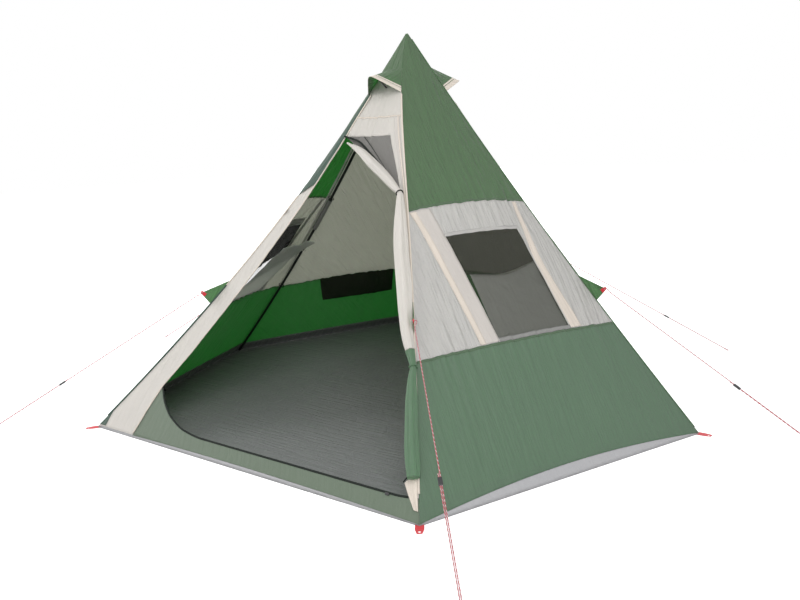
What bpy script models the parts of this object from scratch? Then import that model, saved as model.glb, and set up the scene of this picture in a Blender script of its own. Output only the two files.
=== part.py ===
import math

import bmesh
import bpy
from mathutils import Matrix, Vector

# A six-sided tipi tent, in metres. It stands on z = 0 and its door faces -Y.
# "Down" runs from 0 at the peak to 1 at the ground, and "across" runs from 0 to 1
# over a wall, left to right as seen from outside.

# Frame and plan
half_width = 1.84            # centre to the two side corners
half_depth = 1.64            # centre to the front and rear edges
corner_x = 1.195             # centre line to the front corners and the rear left one
rear_right_corner = (0.86, 1.28)    # pegged further in, as the photo shows
height = 2.25
side_bow = {"front_left": 0.13, "front_right": 0.08, "right": 0.045,
            "back_right": 0.08, "back_left": 0.08, "left": 0.10}
door_pole_lean = 0.042       # how far the tied-back door draws its pole sideways
lean_crest_share = 0.2
belly = {"front": 0.0, "front_right": 0.05, "back_right": 0.03,
         "back": 0.03, "back_left": 0.03, "front_left": 0.05}

# Cloth
cloth = 0.002
seam_gap = 0.0004            # between cloths that are sewn edge to edge
seat_gap = 0.0003            # between pieces that rest on each other
hem_height = 0.0056          # hem above the ground at the corners
hem_arc = 0.042              # how much higher the hem rises between two corners
front_hem_arc = 0.012
groundsheet_rise = 0.07
groundsheet_cloth = 0.0015
rim_gap = 0.0014             # groundsheet's rim inside the walls
peak_share = 0.004
vent_top_share = 0.10
vent_bottom_share = 0.226
rear_vent_bottom_share = 0.20
upper_seam_share = 0.457
lower_seam_share = 0.75

# Windows
window_width = 0.475
window_top_share = 0.52
window_bottom_share = 0.743
window_shift_top = -0.005    # from the wall's middle towards the side corner
window_shift_bottom = 0.075
window_mesh_cloth = 0.001
flap_length = 0.38
flap_margin = 0.006
flap_stand_off = 0.014       # top of a closed flap from the window mesh
left_flap_lean = 0.060

# Door, in shares of the front wall measured from the door pole
strip_edge_share = 0.897
strip_foot_share = 0.86
row_share = 0.06             # height of one row of the surround's points
door_top_share = 0.275
screen_shares = ((0.275, 0.88), (0.30, 0.66), (0.33, 0.43), (0.36, 0.265), (0.39, 0.12),
                 (0.405, 0.075))
jamb_shares = ((0.226, 0.24), (0.275, 0.185), (0.325, 0.118), (0.36, 0.082), (0.40, 0.056),
               (0.43, 0.040), (0.60, 0.026), (0.80, 0.018), (1.0, 0.013))
zip_shares = ((0.0, 0.962), (0.06, 0.966), (0.63, 0.966), (0.70, 0.961),
              (0.775, 0.953), (0.84, 0.928), (0.897, 0.889))

# Rolled door
roll_shares = ((0.79, 0.2935), (0.70, 0.3015), (0.623, 0.3083), (0.4842, 0.3248), (0.3352, 0.350),
               (0.2209, 0.372), (0.1377, 0.3915), (0.0818, 0.4074), (0.0434, 0.4188),
               (0.0355, 0.4357), (0.0322, 0.4639), (0.0307, 0.5086), (0.0285, 0.5551),
               (0.0215, 0.6149), (0.0180, 0.6674), (0.0150, 0.7083), (0.0060, 0.7349))
roll_girth_shares = (0.16, 0.27, 0.43, 0.65, 0.78, 0.78, 0.70, 0.54, 0.40, 0.54, 0.73, 0.92, 1.0,
                     1.0, 0.92, 0.78, 0.62)
hem_shares = ((0.0058, 0.7353), (0.0, 0.7617), (0.0025, 0.7846), (0.0038, 0.8182),
              (0.0046, 0.8582), (0.0041, 0.8932), (0.0028, 0.9195), (0.0030, 0.9363))
hem_girth_shares = (0.62, 0.40, 0.54, 0.70, 0.78, 0.84, 0.84, 0.73)
roll_radius = 0.037
roll_waist_share = 0.40
roll_pleats = 5
roll_pleat_depth = 0.0045
roll_gap = 0.0006            # between the roll's fullest pleat and the wall
tie_cord = 0.004

# Vent hoods and their props
hood_edge_share = 0.165
hood_lift = {"front": 0.15, "back_right": 0.09}
prop_share = 0.150
prop_width = 0.012
prop_thick = 0.003
prop_end_gap = 0.0010

# Poles and hub
pole_radius = 0.0095
joint_radius = 0.0135
joint_top_share = 0.46
joint_bottom_share = 0.53
joint_step_share = 0.001
pole_upper_shares = (0.09, 0.14, 0.21, 0.29, 0.37)
pole_lower_shares = (0.60, 0.68, 0.76, 0.84, 0.92)
pole_inset = 0.025
pole_top_share = 0.040
hub_top_share = 0.034
hub_bottom_share = 0.062
hub_margin = 0.003           # hub inside the poles' lines

# Guy lines
tab_top_share = 0.640
tab_bottom_share = 0.700
tab_reach = 0.095
tab_thick = 0.003
tab_offset = 0.0026          # inner edge outside the pole's line
tab_ear = 0.010
tab_hole_clear = 0.0004
guy_cord = 0.005
guy_peg_reach = {"front_left": 2.70, "front_right": 2.75, "right": 2.47,
                 "back_right": 2.25, "back_left": 2.25, "left": 2.75}
guy_peg_side = {"front_left": 0.0, "front_right": 0.16, "right": 0.0,
                "back_right": -0.27, "back_left": 0.0, "left": 0.0}
guy_strands = 0.0066         # between the two strands below the slider
guy_clear = 0.011            # middle of the eye for the peg above the ground
slider_length = 0.040
slider_width = 0.019
slider_height = 0.0095
slider_clear = 0.0004
slider_share = 0.62          # slider's place from the tab to the eye
guy_tail = 0.020
guy_knot_shares = ((0, -1.8), (0, 0), (0, 1.2), (0.24, 2.1), (0.9, 2.76), (1.8, 3.0), (4.0, 2.5),
                   (6.4, 1.2), (9.2, 0.2), (12, 0))      # in cord thicknesses, from the tab's hole
guy_eye_shares = ((-9, 0), (-6, 0.4), (-3, 1.3), (-0.8, 1.76), (0.8, 1.56), (2, 0.7))

# Corner webbing and storage pocket
webbing_length = 0.066
webbing_width = 0.040
webbing_tip = 0.024
webbing_thick = 0.002
webbing_gap = 0.0005
webbing_hole = 0.007
pocket_across_shares = (0.20, 0.72)
pocket_bottom_share = 0.84
pocket_sag = 0.012
pocket_cloth = 0.0015
zip_slider = (0.022, 0.006, 0.012)
zip_slider_share = 0.075

cut_overrun = 0.002

pole_feet = {"front_left": (-corner_x, -half_depth), "front_right": (corner_x, -half_depth),
             "right": (half_width, 0.0), "back_right": rear_right_corner,
             "back_left": (-corner_x, half_depth), "left": (-half_width, 0.0)}
wall_poles = {"front": ("front_left", "front_right"), "front_right": ("front_right", "right"),
              "back_right": ("right", "back_right"), "back": ("back_right", "back_left"),
              "back_left": ("back_left", "left"), "front_left": ("left", "front_left")}

for old in list(bpy.data.objects):
    bpy.data.objects.remove(old)
parts = bpy.data.collections.new("tipi_tent")
cutters = bpy.data.collections.new("cutters")
bpy.context.scene.collection.children.link(parts)
bpy.context.scene.collection.children.link(cutters)


def make_material(name, colour, roughness, metallic=0.0):
    made = bpy.data.materials.new(name)
    made.use_nodes = True
    shader = made.node_tree.nodes["Principled BSDF"]
    shader.inputs["Base Color"].default_value = (*colour, 1.0)
    shader.inputs["Roughness"].default_value = roughness
    shader.inputs["Metallic"].default_value = metallic
    return made


green = make_material("green_cloth", (0.10, 0.20, 0.10), 0.62)
sage = make_material("sage_cloth", (0.16, 0.23, 0.15), 0.62)
white = make_material("white_cloth", (0.62, 0.60, 0.55), 0.65)
black_mesh = make_material("black_mesh", (0.05, 0.05, 0.04), 0.85)
grey_cloth = make_material("grey_cloth", (0.20, 0.20, 0.20), 0.70)
black_steel = make_material("black_steel", (0.015, 0.015, 0.015), 0.35, 0.6)
black_plastic = make_material("black_plastic", (0.02, 0.02, 0.02), 0.45)
red_webbing = make_material("red_webbing", (0.70, 0.03, 0.04), 0.60)
red_cord = make_material("red_cord", (0.60, 0.08, 0.10), 0.60)


def bowed(down):
    return 4 * down * (1 - down)


def leaned(down):
    """Rises to 1 at its crest below the peak and dies out towards the foot."""
    falling = (1 - lean_crest_share) / lean_crest_share
    return (down / lean_crest_share) * ((1 - down) / (1 - lean_crest_share)) ** falling


def outward(pole):
    return Vector((*pole_feet[pole], 0.0)).normalized()


def sideways(pole):
    out = outward(pole)
    return Vector((-out.y, out.x, 0.0))


def edge_point(pole, down):
    """A point where two walls meet over a pole."""
    foot = Vector((*pole_feet[pole], 0.0))
    place = foot * down + Vector((0.0, 0.0, height * (1 - down)))
    place -= outward(pole) * side_bow[pole] * bowed(down)
    if pole == "front_right":
        place -= sideways(pole) * door_pole_lean * leaned(down)
    return place


def wall_normal(wall):
    first, last = (Vector((*pole_feet[pole], 0.0)) for pole in wall_poles[wall])
    peak = Vector((0.0, 0.0, height))
    return (last - first).cross(peak - first).normalized()


def wall_point(wall, across, down, lift=0.0):
    """A point on a wall's inner face, its ends held back from the pole's line by the seam gap."""
    first, last = (edge_point(pole, down) for pole in wall_poles[wall])
    chord = (last - first).length
    held = (seam_gap + across * (chord - 2 * seam_gap)) / chord
    swell = belly[wall] * 4 * across * (1 - across) * bowed(down)
    return first.lerp(last, held) + wall_normal(wall) * (swell + lift)


def wall_run(wall):
    """Length down the middle of a wall."""
    return (wall_point(wall, 0.5, 1.0) - Vector((0.0, 0.0, height))).length


def hem_down(wall, across):
    arc = front_hem_arc if wall == "front" else hem_arc
    return 1 - (hem_height + arc * 4 * across * (1 - across)) / height


def table_value(table, key):
    """Straight-line value in a table of pairs."""
    if key <= table[0][0]:
        return table[0][1]
    for (low, low_value), (high, high_value) in zip(table, table[1:]):
        if key <= high:
            return low_value + (high_value - low_value) * (key - low) / (high - low)
    return table[-1][1]


def stops(marks, counts):
    """Values that divide each stretch between two marks into its count of equal steps."""
    values = [marks[0]]
    for low, high, count in zip(marks, marks[1:], counts):
        values += [low + (high - low) * (step + 1) / count for step in range(count)]
    return values


def finish(thing, name, material, smooth_angle=None):
    thing.name = name
    thing.data.name = name
    for owner in list(thing.users_collection):
        owner.objects.unlink(thing)
    parts.objects.link(thing)
    thing.data.materials.clear()
    thing.data.materials.append(material)
    if smooth_angle is not None:
        thing.data.shade_smooth()
        thing.data.set_sharp_from_angle(angle=smooth_angle)
    return thing


def make_sheet(name, columns, rows, place, material, thick=cloth, keep=None, side=1):
    """A cloth from a grid whose points are laid by place(column, row), row 0 at the top."""
    mesh = bpy.data.meshes.new(name)
    grid = bmesh.new()
    bmesh.ops.create_grid(grid, x_segments=columns, y_segments=rows, size=0.5)
    spots = {}
    for point in grid.verts:
        column = round((point.co.x + 0.5) * columns)
        row = rows - round((point.co.y + 0.5) * rows)
        spots[point] = (column, row)
    if keep:
        gone = []
        for face in grid.faces:
            column = min(spots[point][0] for point in face.verts)
            row = min(spots[point][1] for point in face.verts)
            if not keep(column, row):
                gone.append(face)
        bmesh.ops.delete(grid, geom=gone, context="FACES")
    for point in grid.verts:
        point.co = place(*spots[point])
    grid.to_mesh(mesh)
    grid.free()
    sheet = bpy.data.objects.new(name, mesh)
    parts.objects.link(sheet)
    shell = sheet.modifiers.new("thickness", "SOLIDIFY")
    shell.thickness = thick
    shell.offset = side
    shell.use_even_offset = True
    return finish(sheet, name, material, math.radians(30))


def make_tube(name, points, radius, material, radii=None, sides=2):
    """A tube with filled caps along a line of points."""
    data = bpy.data.curves.new(name, "CURVE")
    data.dimensions = "3D"
    data.bevel_depth = radius
    data.bevel_resolution = sides
    data.use_fill_caps = True
    line = data.splines.new("POLY")
    line.points.add(len(points) - 1)
    for index, place in enumerate(points):
        line.points[index].co = (*place, 1.0)
        line.points[index].radius = radii[index] / radius if radii else 1.0
    tube = bpy.data.objects.new(name, data)
    parts.objects.link(tube)
    return finish(tube, name, material)


def make_plate(name, outline, holes, thick, frame, material):
    """A flat piece from a 2D outline, with round holes, laid by its frame."""
    data = bpy.data.curves.new(name, "CURVE")
    data.dimensions = "2D"
    data.fill_mode = "BOTH"
    data.extrude = thick / 2
    rings = [outline]
    for (x, y), radius in holes:
        turns = [math.tau * step / 10 for step in range(10)]
        rings.append([(x + radius * math.cos(turn), y + radius * math.sin(turn)) for turn in turns])
    for ring in rings:
        line = data.splines.new("POLY")
        line.points.add(len(ring) - 1)
        line.use_cyclic_u = True
        for index, (x, y) in enumerate(ring):
            line.points[index].co = (x, y, 0.0, 1.0)
    plate = bpy.data.objects.new(name, data)
    plate.matrix_world = frame
    parts.objects.link(plate)
    return finish(plate, name, material)


def frame_of(origin, along, normal):
    """A matrix with X along, Z on the normal and its origin at a point."""
    x_axis = along.normalized()
    z_axis = (normal - x_axis * normal.dot(x_axis)).normalized()
    y_axis = z_axis.cross(x_axis)
    turned = Matrix((x_axis, y_axis, z_axis)).transposed().to_4x4()
    return Matrix.Translation(origin) @ turned


def seam_step(wall):
    return seam_gap / wall_run(wall)


def make_band(name, walls, marks, counts, columns, material, keep=None, hem=False,
              lowered=lambda column, row: 1 if row == 0 else 0, ended=lambda column, row: None):
    """A band over one wall or several in a row, from its first mark down to its last or the hem.

    lowered says how many seam gaps a point keeps from the cloth above, and ended gives the
    wall that a point over a pole belongs to, where the band stops at that pole."""
    total = columns * len(walls)
    downs = stops(marks, counts)
    rows = len(downs) - 1

    def place(column, row):
        turn = min(column // columns, len(walls) - 1)
        wall = walls[turn]
        across = (column - turn * columns) / columns
        down = downs[row]
        down += seam_step(wall) * lowered(column, row)
        if hem:
            down = marks[0] + (hem_down(wall, across) - marks[0]) * row / rows
            down += seam_step(wall) * (1 - row / rows)
        if 0 < column < total and column % columns == 0:
            owner = ended(column, row)
            if owner is None:
                return edge_point(wall_poles[wall][0], down)
            return wall_point(owner, 0.0 if owner == wall else 1.0, down)
        return wall_point(wall, across, down)

    make_sheet(name, total, rows, place, material, keep=keep)


def groundsheet_corner(pole, down=1.0):
    wall = next(name for name, pair in wall_poles.items() if pair[0] == pole)
    inward = rim_gap / outward(pole).dot(wall_normal(wall))
    return edge_point(pole, down) - outward(pole) * inward


def make_groundsheet():
    """One tub: a flat hexagon with its rim turned up inside the walls."""
    per_wall = 8
    walls = list(wall_poles)
    count = per_wall * len(walls)
    tub = bmesh.new()
    made = bmesh.ops.create_circle(tub, cap_ends=True, radius=1.0, segments=count)
    ring = made["verts"]
    order = sorted(ring, key=lambda point: math.atan2(point.co.y, point.co.x) % math.tau)
    spots = {point: index for index, point in enumerate(order)}

    def rim(index, rise):
        wall = walls[index // per_wall]
        across = (index % per_wall) / per_wall
        down = 1 - rise / height
        if across == 0:
            return groundsheet_corner(wall_poles[wall][0], down)
        return wall_point(wall, across, down, lift=-rim_gap)

    rim_edges = [edge for edge in tub.edges if len(edge.link_faces) == 1]
    for point, index in spots.items():
        point.co = rim(index, 0.0)
        point.co.z = 0.0
    raised = bmesh.ops.extrude_edge_only(tub, edges=rim_edges)["geom"]
    for point in (item for item in raised if isinstance(item, bmesh.types.BMVert)):
        below = min(spots, key=lambda other: (other.co - point.co).length)
        point.co = rim(spots[below], groundsheet_rise)
    bmesh.ops.recalc_face_normals(tub, faces=tub.faces)
    mesh = bpy.data.meshes.new("groundsheet")
    tub.to_mesh(mesh)
    tub.free()
    sheet = bpy.data.objects.new("groundsheet", mesh)
    parts.objects.link(sheet)
    shell = sheet.modifiers.new("thickness", "SOLIDIFY")
    shell.thickness = groundsheet_cloth
    shell.offset = -1
    shell.use_even_offset = True
    return finish(sheet, "groundsheet", grey_cloth)


def window_edges(wall, down):
    """Across shares of a window's two sides at a height, mirrored on the left wall."""
    first, last = (edge_point(pole, down) for pole in wall_poles[wall])
    chord = (last - first).length
    sunk = (down - window_top_share) / (window_bottom_share - window_top_share)
    shift = window_shift_top + (window_shift_bottom - window_shift_top) * sunk
    if wall == "front_left":
        shift = -shift
    middle = 0.5 + shift / chord
    half = window_width / 2 / chord
    return middle - half, middle + half


def window_columns(wall, down, side_steps, window_steps, margin=0.0):
    left, right = window_edges(wall, down)
    return stops((0.0, left - margin, right + margin, 1.0), (side_steps, window_steps, side_steps))


def make_window_wall(side):
    wall = "front_" + side
    side_steps, window_steps, window_rows = 3, 4, 4
    step = seam_step(wall)
    downs = stops((upper_seam_share + step, window_top_share, window_bottom_share,
                   lower_seam_share), (2, window_rows, 1))
    steps = 2 * side_steps + window_steps

    def place(column, row):
        return wall_point(wall, window_columns(wall, downs[row], side_steps, window_steps)[column],
                          downs[row])

    def keep(column, row):
        beside = column < side_steps or column >= side_steps + window_steps
        return beside or row < 2 or row >= 2 + window_rows

    make_sheet("middle_wall_front_" + side, steps, len(downs) - 1, place, white, keep=keep)

    mesh_downs = stops((window_top_share + step, window_bottom_share - step), (window_rows,))

    def mesh_place(column, row):
        left, right = window_edges(wall, mesh_downs[row])
        inset = 2.5 * step
        across = left + inset + (right - left - 2 * inset) * column / window_steps
        return wall_point(wall, across, mesh_downs[row])

    make_sheet("window_mesh_" + side, window_steps, window_rows, mesh_place, black_mesh,
               thick=window_mesh_cloth)


def window_flap_frame(side):
    """Frame of a window flap: its origin on the hinge, X along it and Y up the flap."""
    wall = "front_" + side
    low = window_bottom_share
    normal = wall_normal(wall)
    left, right = window_edges(wall, low)
    share = flap_margin / (edge_point(wall_poles[wall][1], low)
                           - edge_point(wall_poles[wall][0], low)).length
    ends = [wall_point(wall, across, low) for across in (left + share, right - share)]
    along = (ends[1] - ends[0]).normalized()
    up = (Vector((0, 0, 1)) - normal * normal.z).normalized()
    step_down = flap_length / wall_run(wall)
    above = wall_point(wall, (left + right) / 2, low - step_down)
    below = (ends[0] + ends[1]) / 2
    lean = (above - below).dot(normal) / (above - below).dot(up)
    stand_off = flap_stand_off + (left_flap_lean if side == "left" else 0.0)
    tilt = lean - stand_off / flap_length
    rising = (up + normal * tilt).normalized()
    face = along.cross(rising).normalized()
    inner = below - face * (seat_gap + cloth / 2 * 1.6)
    width = (ends[1] - ends[0]).length
    return frame_of(inner, along, face), width


def make_window_flap(side):
    frame, width = window_flap_frame(side)
    half = width / 2
    outline = [(-half, 0.0), (half, 0.0), (half, flap_length), (-half, flap_length)]
    make_plate("window_flap_" + side, outline, [], cloth, frame, grey_cloth)


def front_across(share):
    """Front wall's own across from a share measured from the door pole."""
    return 1 - share


def strip_edge(down):
    """Inner edge of the strip at the left of the door."""
    corner = zip_shares[-1][1]
    sunk = max(0.0, (down - corner) / (1 - corner))
    return strip_edge_share + (strip_foot_share - strip_edge_share) * sunk


def make_door_surround():
    """The white frame round the door: left strip, header and the narrow jamb at the door pole."""
    strip_steps, open_steps, jamb_steps = 2, 6, 1
    head_rows, foot_rows = 2, 2
    step = seam_step("front")
    corner, jamb_end = zip_shares[-1][1], zip_shares[0][1] - step
    jamb_downs = [down for down, share in jamb_shares if door_top_share < down < corner]
    marks = [door_top_share, *jamb_downs, corner]
    counts = [max(1, round((low - high) / row_share)) for high, low in zip(marks, marks[1:])]
    downs = stops([vent_bottom_share + step, *marks, 1.0], [head_rows, *counts, foot_rows])
    columns = strip_steps + open_steps + jamb_steps

    def place(column, row):
        down = downs[row]
        in_jamb = column >= strip_steps + open_steps
        if in_jamb and down > corner:
            down = corner + (jamb_end - corner) * (down - corner) / (1 - corner)
        elif down > corner:
            edge = 1.0 if column == 0 else strip_edge(down)
            foot = hem_down("front", front_across(edge))
            down = corner + (foot - corner) * (down - corner) / (1 - corner)
        marks_across = (1.0, strip_edge(down), table_value(jamb_shares, down), 0.0)
        share = stops(marks_across, (strip_steps, open_steps, jamb_steps))[column]
        return wall_point("front", front_across(share), down)

    def keep(column, row):
        return row < head_rows or column < strip_steps or column >= strip_steps + open_steps

    make_sheet("door_surround", columns, len(downs) - 1, place, white, keep=keep)


def make_door_sill():
    step = seam_step("front")
    rows, slant_passes = 3, 4
    edges = stops((strip_edge_share, 0.84, 0.63, 0.06, 0.0), (2, 6, 7, 3))

    def place(column, row):
        top = edges[column]
        high = strip_corner = zip_shares[-1][1]
        for _ in range(slant_passes):      # the columns slant with the strip's edge, so the zip is met on the slant
            high = table_value(zip_shares, top * strip_edge(max(high, strip_corner)) / strip_edge_share) + step
        low = hem_down("front", front_across(top))
        down = high + (low - high) * row / rows
        inner = strip_edge(down) - 3 * step
        share = top * inner / strip_edge_share
        return wall_point("front", front_across(share), down)

    make_sheet("door_sill", len(edges) - 1, rows, place, sage)


def make_door_screen():
    """The part of the insect screen that stays up between the header and the rolled door."""
    step = seam_step("front")
    rows, columns = 8, 6
    low = screen_shares[-1][0]

    def place(column, row):
        down = door_top_share + step + (low - door_top_share - step) * row / rows
        jamb = table_value(jamb_shares, down) + 4 * step
        left = table_value(screen_shares, down)
        share = left + (jamb - left) * column / columns
        return wall_point("front", front_across(share), down)

    make_sheet("door_screen", columns, rows, place, grey_cloth, thick=window_mesh_cloth)


def roll_radii(girth_shares):
    return [roll_radius * share for share in girth_shares]


def roll_centres(shares, radii):
    """Middle of the rolled door along its route, lying on the outside of the front wall."""
    return [wall_point("front", front_across(share), down,
                       lift=cloth + roll_gap + roll_pleat_depth + radius)
            for (share, down), radius in zip(shares, radii)]


def make_roll(name, shares, girth_shares, material):
    """Gathered cloth: a cylinder whose rings follow a path, with pleats that turn a little."""
    radii = roll_radii(girth_shares)
    centres = roll_centres(shares, radii)
    waist = roll_radius * roll_waist_share
    sides = 16
    rings = 2 * (len(shares) - 1)
    body = bmesh.new()
    bmesh.ops.create_cone(body, cap_ends=True, segments=sides, radius1=1.0, radius2=1.0, depth=1.0)
    uprights = [edge for edge in body.edges if abs(edge.verts[0].co.z - edge.verts[1].co.z) > 0.5]
    bmesh.ops.subdivide_edges(body, edges=uprights, cuts=rings - 1)

    def along(share):
        place = share * (len(centres) - 1)
        index = min(int(place), len(centres) - 2)
        local = place - index
        before = centres[max(index - 1, 0)]
        after = centres[min(index + 2, len(centres) - 1)]
        start, end = centres[index], centres[index + 1]
        slope_in = (end - before) / 2
        slope_out = (after - start) / 2
        square, cube = local * local, local * local * local
        spot = (start * (2 * cube - 3 * square + 1) + slope_in * (cube - 2 * square + local)
                + end * (3 * square - 2 * cube) + slope_out * (cube - square))
        radius = radii[index] + (radii[index + 1] - radii[index]) * local
        return spot, radius

    face = wall_normal("front")
    for point in body.verts:
        share = min(max(point.co.z + 0.5, 0.0), 1.0)
        turn = math.atan2(point.co.y, point.co.x)
        spot, radius = along(share)
        ahead = along(min(share + 0.01, 1.0))[0] - along(max(share - 0.01, 0.0))[0]
        forward = ahead.normalized()
        left = face.cross(forward).normalized()
        up = forward.cross(left)
        fullness = min(max((radius - waist) / (roll_radius - waist), 0.0), 1.0)
        pleat = roll_pleat_depth * fullness * math.cos(roll_pleats * turn + 2.5 * share)
        point.co = spot + (left * math.cos(turn) + up * math.sin(turn)) * (radius + pleat)
    bmesh.ops.recalc_face_normals(body, faces=body.faces)
    if body.calc_volume(signed=True) < 0:
        bmesh.ops.reverse_faces(body, faces=body.faces)
    mesh = bpy.data.meshes.new(name)
    body.to_mesh(mesh)
    body.free()
    roll = bpy.data.objects.new(name, mesh)
    parts.objects.link(roll)
    return finish(roll, name, material, math.radians(60))


def make_tie(name, centre, forward, material):
    """A cord tied round the roll: a ring on its waist."""
    ring = (roll_radius * roll_waist_share + seat_gap) / math.cos(math.pi / 16) + tie_cord / 2
    bpy.ops.mesh.primitive_torus_add(major_radius=ring, minor_radius=tie_cord / 2,
                                     major_segments=16, minor_segments=6)
    tie = bpy.context.object
    turn = Vector((0, 0, 1)).rotation_difference(forward.normalized()).to_matrix().to_4x4()
    tie.matrix_world = Matrix.Translation(centre) @ turn
    return finish(tie, name, material)


def make_hood(name, wall):
    """Storm hood: the peak of a wall, lifted along its middle at the lower edge."""
    columns = 8
    downs = stops((peak_share, vent_top_share, hood_edge_share), (3, 4))

    def place(column, row):
        across = column / columns
        return wall_point(wall, across, downs[row], lift=hood_rise(wall, across, downs[row]))

    make_sheet(name, columns, len(downs) - 1, place, green)


def hood_rise(wall, across, down):
    opened = max(0.0, (down - vent_top_share) / (hood_edge_share - vent_top_share))
    return hood_lift[wall] * opened * (1 - abs(2 * across - 1))


def make_vent(name, wall, bottom):
    step = seam_step(wall)
    downs = stops((vent_top_share + step, bottom - step), (4,))

    def place(column, row):
        return wall_point(wall, column / 8, downs[row], lift=-(seat_gap + window_mesh_cloth))

    make_sheet(name, 8, 4, place, white, thick=window_mesh_cloth)


def prop_frame(wall):
    """Frame of a vent prop: its origin on the hinge, X out to the hood and Z across the wall."""
    normal = wall_normal(wall)
    first, last = (edge_point(pole, prop_share) for pole in wall_poles[wall])
    hinge = wall_point(wall, 0.5, prop_share, lift=prop_thick / 2 + 2 * seat_gap)
    return frame_of(hinge, normal, (last - first).normalized())


def make_prop(name, wall):
    frame = prop_frame(wall)
    first, last = (edge_point(pole, prop_share) for pole in wall_poles[wall])
    half_across = prop_width / 2 / (last - first).length
    half = prop_thick / 2
    high = prop_share - half / wall_run(wall)
    reach = hood_rise(wall, 0.5 + half_across, high) - half - 2 * seat_gap - prop_end_gap
    outline = [(reach, -half), (reach, half), (0.0, half)]
    turns = [math.pi / 2 + math.pi * step / 6 for step in range(1, 6)]
    outline += [(half * math.cos(turn), half * math.sin(turn)) for turn in turns]
    outline += [(0.0, -half)]
    make_plate(name, outline, [], prop_width, frame, black_plastic)


def pole_axis(pole, down):
    return edge_point(pole, down) - outward(pole) * pole_inset


def pole_foot_share(pole):
    lean = (pole_axis(pole, 1.0) - pole_axis(pole, pole_lower_shares[-1])).normalized()
    lift = groundsheet_cloth + seat_gap + pole_radius * math.sqrt(1 - lean.z * lean.z)
    return 1 - lift / height


def make_pole(pole):
    downs = [pole_top_share, *pole_upper_shares, joint_top_share - joint_step_share,
             joint_top_share, joint_bottom_share, joint_bottom_share + joint_step_share,
             *pole_lower_shares, pole_foot_share(pole)]
    radii = [joint_radius if joint_top_share <= down <= joint_bottom_share else pole_radius
             for down in downs]
    points = [pole_axis(pole, down) for down in downs]
    make_tube("pole_" + pole, points, pole_radius, black_steel, radii, sides=3)


def make_hub():
    """Moulded hub at the peak with a blind socket for the top of each pole."""
    bpy.ops.mesh.primitive_cone_add(vertices=6, radius1=1.0, radius2=0.6, depth=1.0)
    hub = bpy.context.object
    for point in hub.data.vertices:
        down = hub_top_share if point.co.z > 0 else hub_bottom_share
        turn = math.atan2(point.co.y, point.co.x)
        point.co = hub_corner(turn, down)
    finish(hub, "pole_hub", black_plastic)
    for pole in pole_feet:
        start = pole_axis(pole, pole_top_share)
        forward = (pole_axis(pole, pole_upper_shares[0]) - start).normalized()
        length = 2 * (hub_bottom_share - pole_top_share) * height + cut_overrun
        bpy.ops.mesh.primitive_cylinder_add(vertices=16, radius=pole_radius + 2 * seat_gap,
                                            depth=length)
        bore = bpy.context.object
        turned = Vector((0, 0, 1)).rotation_difference(forward).to_matrix().to_4x4()
        middle = start + forward * (length / 2 - seat_gap)
        bore.matrix_world = Matrix.Translation(middle) @ turned
        as_cutter(bore, "socket_" + pole)
        cut(hub, bore)


def hub_corner(turn, down):
    """The hub's corner nearest to a turn about Z, a little inside the pole's line."""
    nearest = max(pole_feet, key=lambda pole: outward(pole).dot(
        Vector((math.sin(turn), -math.cos(turn), 0.0))))
    place = edge_point(nearest, down)
    return place - outward(nearest) * hub_margin


def as_cutter(thing, name):
    thing.name = name
    for owner in list(thing.users_collection):
        owner.objects.unlink(thing)
    cutters.objects.link(thing)
    thing.hide_render = True
    thing.display_type = "WIRE"


def cut(thing, cutter):
    step = thing.modifiers.new(cutter.name, "BOOLEAN")
    step.operation = "DIFFERENCE"
    step.object = cutter
    step.solver = "EXACT"


def tab_frame(pole):
    """Frame of a guy tab: X out from the pole's line, Y up along it."""
    top, low = edge_point(pole, tab_top_share), edge_point(pole, tab_bottom_share)
    up = (top - low).normalized()
    across = (sideways(pole) - up * sideways(pole).dot(up)).normalized()
    out = up.cross(across)
    if out.dot(outward(pole)) < 0:
        out = -out
    return frame_of((top + low) / 2, out, across), (top - low).length


def tab_hole_place(pole):
    frame, rise = tab_frame(pole)
    lift = -rise / 2 if (frame.to_3x3() @ Vector((0, 1, 0))).z > 0 else rise / 2
    return frame, rise, (tab_reach - tab_ear, lift * 0.75)


def make_tab(pole):
    frame, rise, (hole_x, hole_y) = tab_hole_place(pole)
    ear, hole = tab_ear, guy_cord / 2 + tab_hole_clear
    outline = [(tab_offset, -rise / 2), (hole_x, hole_y - ear), (hole_x + ear * 0.8, hole_y - ear * 0.6),
               (hole_x + ear, hole_y), (hole_x + ear * 0.8, hole_y + ear * 0.6),
               (hole_x, hole_y + ear), (tab_offset, rise / 2)]
    make_plate("guy_tab_" + pole, outline, [((hole_x, hole_y), hole)], tab_thick, frame, green)


def guy_frame(pole):
    """Frame of a guy line: origin in the tab's hole, X down the line and Y across it; its length."""
    frame, rise, (hole_x, hole_y) = tab_hole_place(pole)
    hole = frame @ Vector((hole_x, hole_y, 0.0))
    peg = outward(pole) * guy_peg_reach[pole] + sideways(pole) * guy_peg_side[pole]
    peg.z = guy_clear
    run = peg - hole
    along = run.normalized()
    across = (sideways(pole) - along * sideways(pole).dot(along)).normalized()
    return frame_of(hole, along, along.cross(across)), run.length


def guy_points(pole):
    frame, length = guy_frame(pole)
    apart = guy_strands
    flat = [(x * guy_cord, y * guy_cord) for x, y in guy_knot_shares]
    eye = [(x * guy_cord, y * guy_cord) for x, y in guy_eye_shares]
    down = [(length + x, y) for x, y in eye]
    back = [(length + x, -apart - y) for x, y in reversed(eye)]
    slider = slider_share * length
    flat += down + back + [(slider + slider_length / 2, -apart),
                           (slider - slider_length / 2 - guy_tail, -apart)]
    return [frame @ Vector((x, y, 0.0)) for x, y in flat]


def make_guy(pole):
    make_tube("guy_line_" + pole, guy_points(pole), guy_cord / 2, red_cord)


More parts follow.
